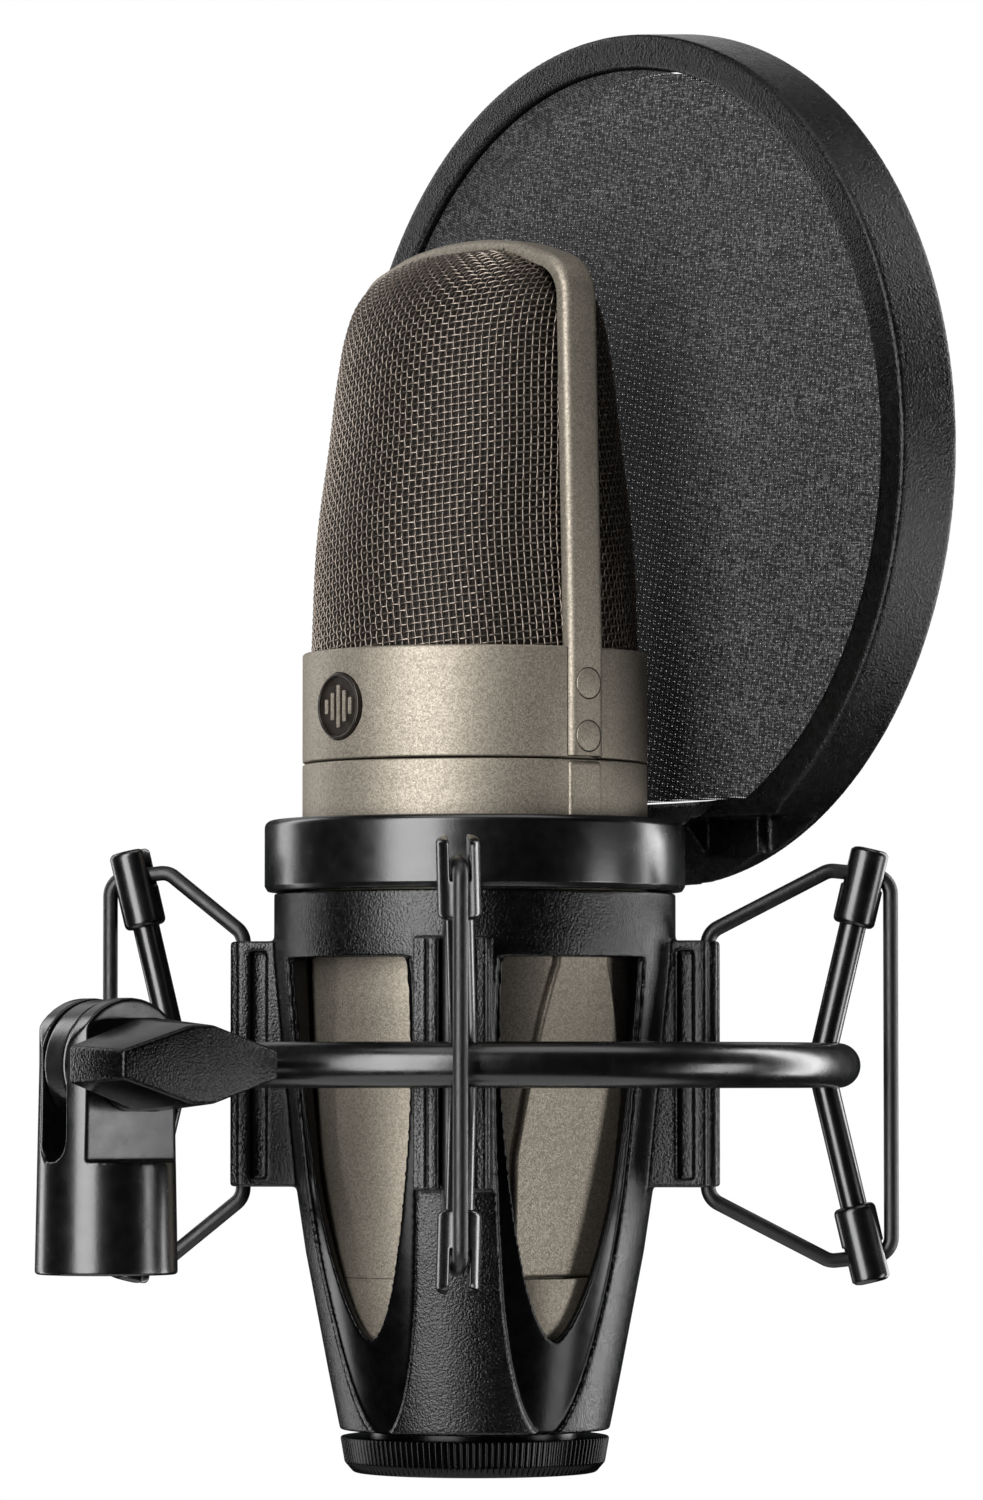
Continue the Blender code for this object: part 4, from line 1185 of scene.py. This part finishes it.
def pop_rim():
    """A ring that is filled below a chord and slopes away under it to clear the collar."""
    rim = along(turned([
        (POP_OPENING_R, -POP_HALF), (POP_FRONT_R, -POP_HALF, 0.5),
        (POP_BACK_R, POP_HALF, 0.5), (POP_OPENING_R, POP_HALF),
    ], 256), "Y")
    sweep = acos(-POP_CHORD_Z / POP_FOOT_R)
    arc = circle(POP_FOOT_R, 49, 0, 0, -pi / 2 - sweep, 2 * sweep)
    half = POP_HALF - POP_FOOT_INSET
    rim = carved(rim, prism(arc, -half, half, "Y"), operation="UNION")
    under, front, back = POP_CHORD_Z - PAST, POP_SLOPE_INSET - POP_HALF, POP_HALF + 3 * PAST
    slope = [
        (back, under), (POP_HALF, under), (front, POP_SLOPE_INSET - POP_FRONT_R),
        (front, -FAR * 1.5), (back, -FAR * 1.5),
    ]
    tools = [prism(slope, -FAR, FAR, "X")]
    for side in (-1, 1):
        for near, far, pocket_floor in POP_POCKETS:
            x0, x1 = sorted((side * near, side * far))
            tools.append(block((x0, pocket_floor, -FAR * 2), (x1, FAR, under - POP_POCKET_LIP)))
    rim = carved(rim, *tools)
    low, high = SADDLE_FOOT_Z, SADDLE[1][1]
    saddle = turned([(0, low), (SADDLE[0][0], low), *SADDLE, (0, high)], 160)
    latch = block((-LATCH_HALF - GAP, LATCH_SEAT_Y, low), (LATCH_HALF + GAP, 0, LATCH_TOP_Z))
    for tool in (saddle, latch):
        tool.transform(POP.inverted() @ MIC)
    rim = softened(carved(rim, saddle, latch), 0.36, 3)
    piece("filter_rim", rim, POP, "pop_filter", ["fine_plastic"], "black_plastic", ["pop_filter_rim"], 180)


def pop_fabric(name, node, depth):
    """A thin cloth pulled tight over the opening, cut straight along the foot."""
    radius, chord = POP_OPENING_R - GAP, POP_CHORD_Z + GAP
    rings, steps = 48, 192
    points = []
    for i in range(rings + 1):
        for k in range(steps):
            turn = tau * k / steps
            reach = radius
            if sin(turn) < 0:
                reach = min(radius, chord / sin(turn))
            r = reach * i / rings
            x, z = r * cos(turn), r * sin(turn)
            sway = sin(x / 14.0 + 1.3) * sin(z / 17.0 + depth)
            points.append((x, depth + CLOTH_SLACK * sway * (1 - (i / rings) ** 4), z))
    mesh = mesh_of(points, grid_faces(rings + 1, steps, False, True))
    made = piece(name, mesh, POP, "pop_filter", [name], "pop_fabric", [node], 180)


# Inner pieces, carried from the frame

CARRIED = {
    "satin_black": ("collar_latch",),
    "steel": ("swivel_bolt", "output_transformer"),
    "insulator": ("friction_washer_left", "friction_washer_right", "capsule_stem", "insulating_deck"),
    "brass": ("knob_nut", "capsule_body", "front_clamp_ring", "rear_clamp_ring"),
    "gold": ("front_diaphragm", "rear_diaphragm", "inlet_pin_1", "inlet_pin_2", "inlet_pin_3"),
    "knob_plastic": ("inlet_insert",),
    "board": ("circuit_board",),
}


def carried_pieces():
    for look, names in CARRIED.items():
        for name in names:
            made = frame["nodes"][name]
            for slot in made.material_slots:
                slot.material = PAINTS[look]
            edge = made.modifiers.new("edge", "BEVEL")
            edge.width = 0.12 * MM
            edge.segments = 2
            edge.limit_method = "ANGLE"
            edge.angle_limit = radians(40)


PAINTS = paints()


def main():
    camera()
    lights()
    surroundings()
    floor()

    stand_adapter()
    socket_thread()
    wing_knob()
    hoop()
    hinge_tab()
    for number, azimuth in enumerate(POST_AZIMUTHS, 1):
        post(number, azimuth, True)
        post(number, azimuth, False)
        elastic_band(number, azimuth)

    cradle()
    base_nut()
    tail_cup()
    lower_housing()
    grille_band()
    badge()
    arch_frame()
    for name, side in (("left", -1), ("right", 1)):
        for row, height in zip(("upper", "lower"), COVER_Z):
            screw_cover(name, side, row, height)
    grille("rear_mesh", "rear_grille", 0.0)
    grille("front_mesh", "front_grille", pi)

    collar()
    pop_rim()
    pop_fabric("back_cloth", "back_pop_fabric", CLOTH_Y)
    pop_fabric("front_cloth", "front_pop_fabric", -CLOTH_Y)
    carried_pieces()


main()
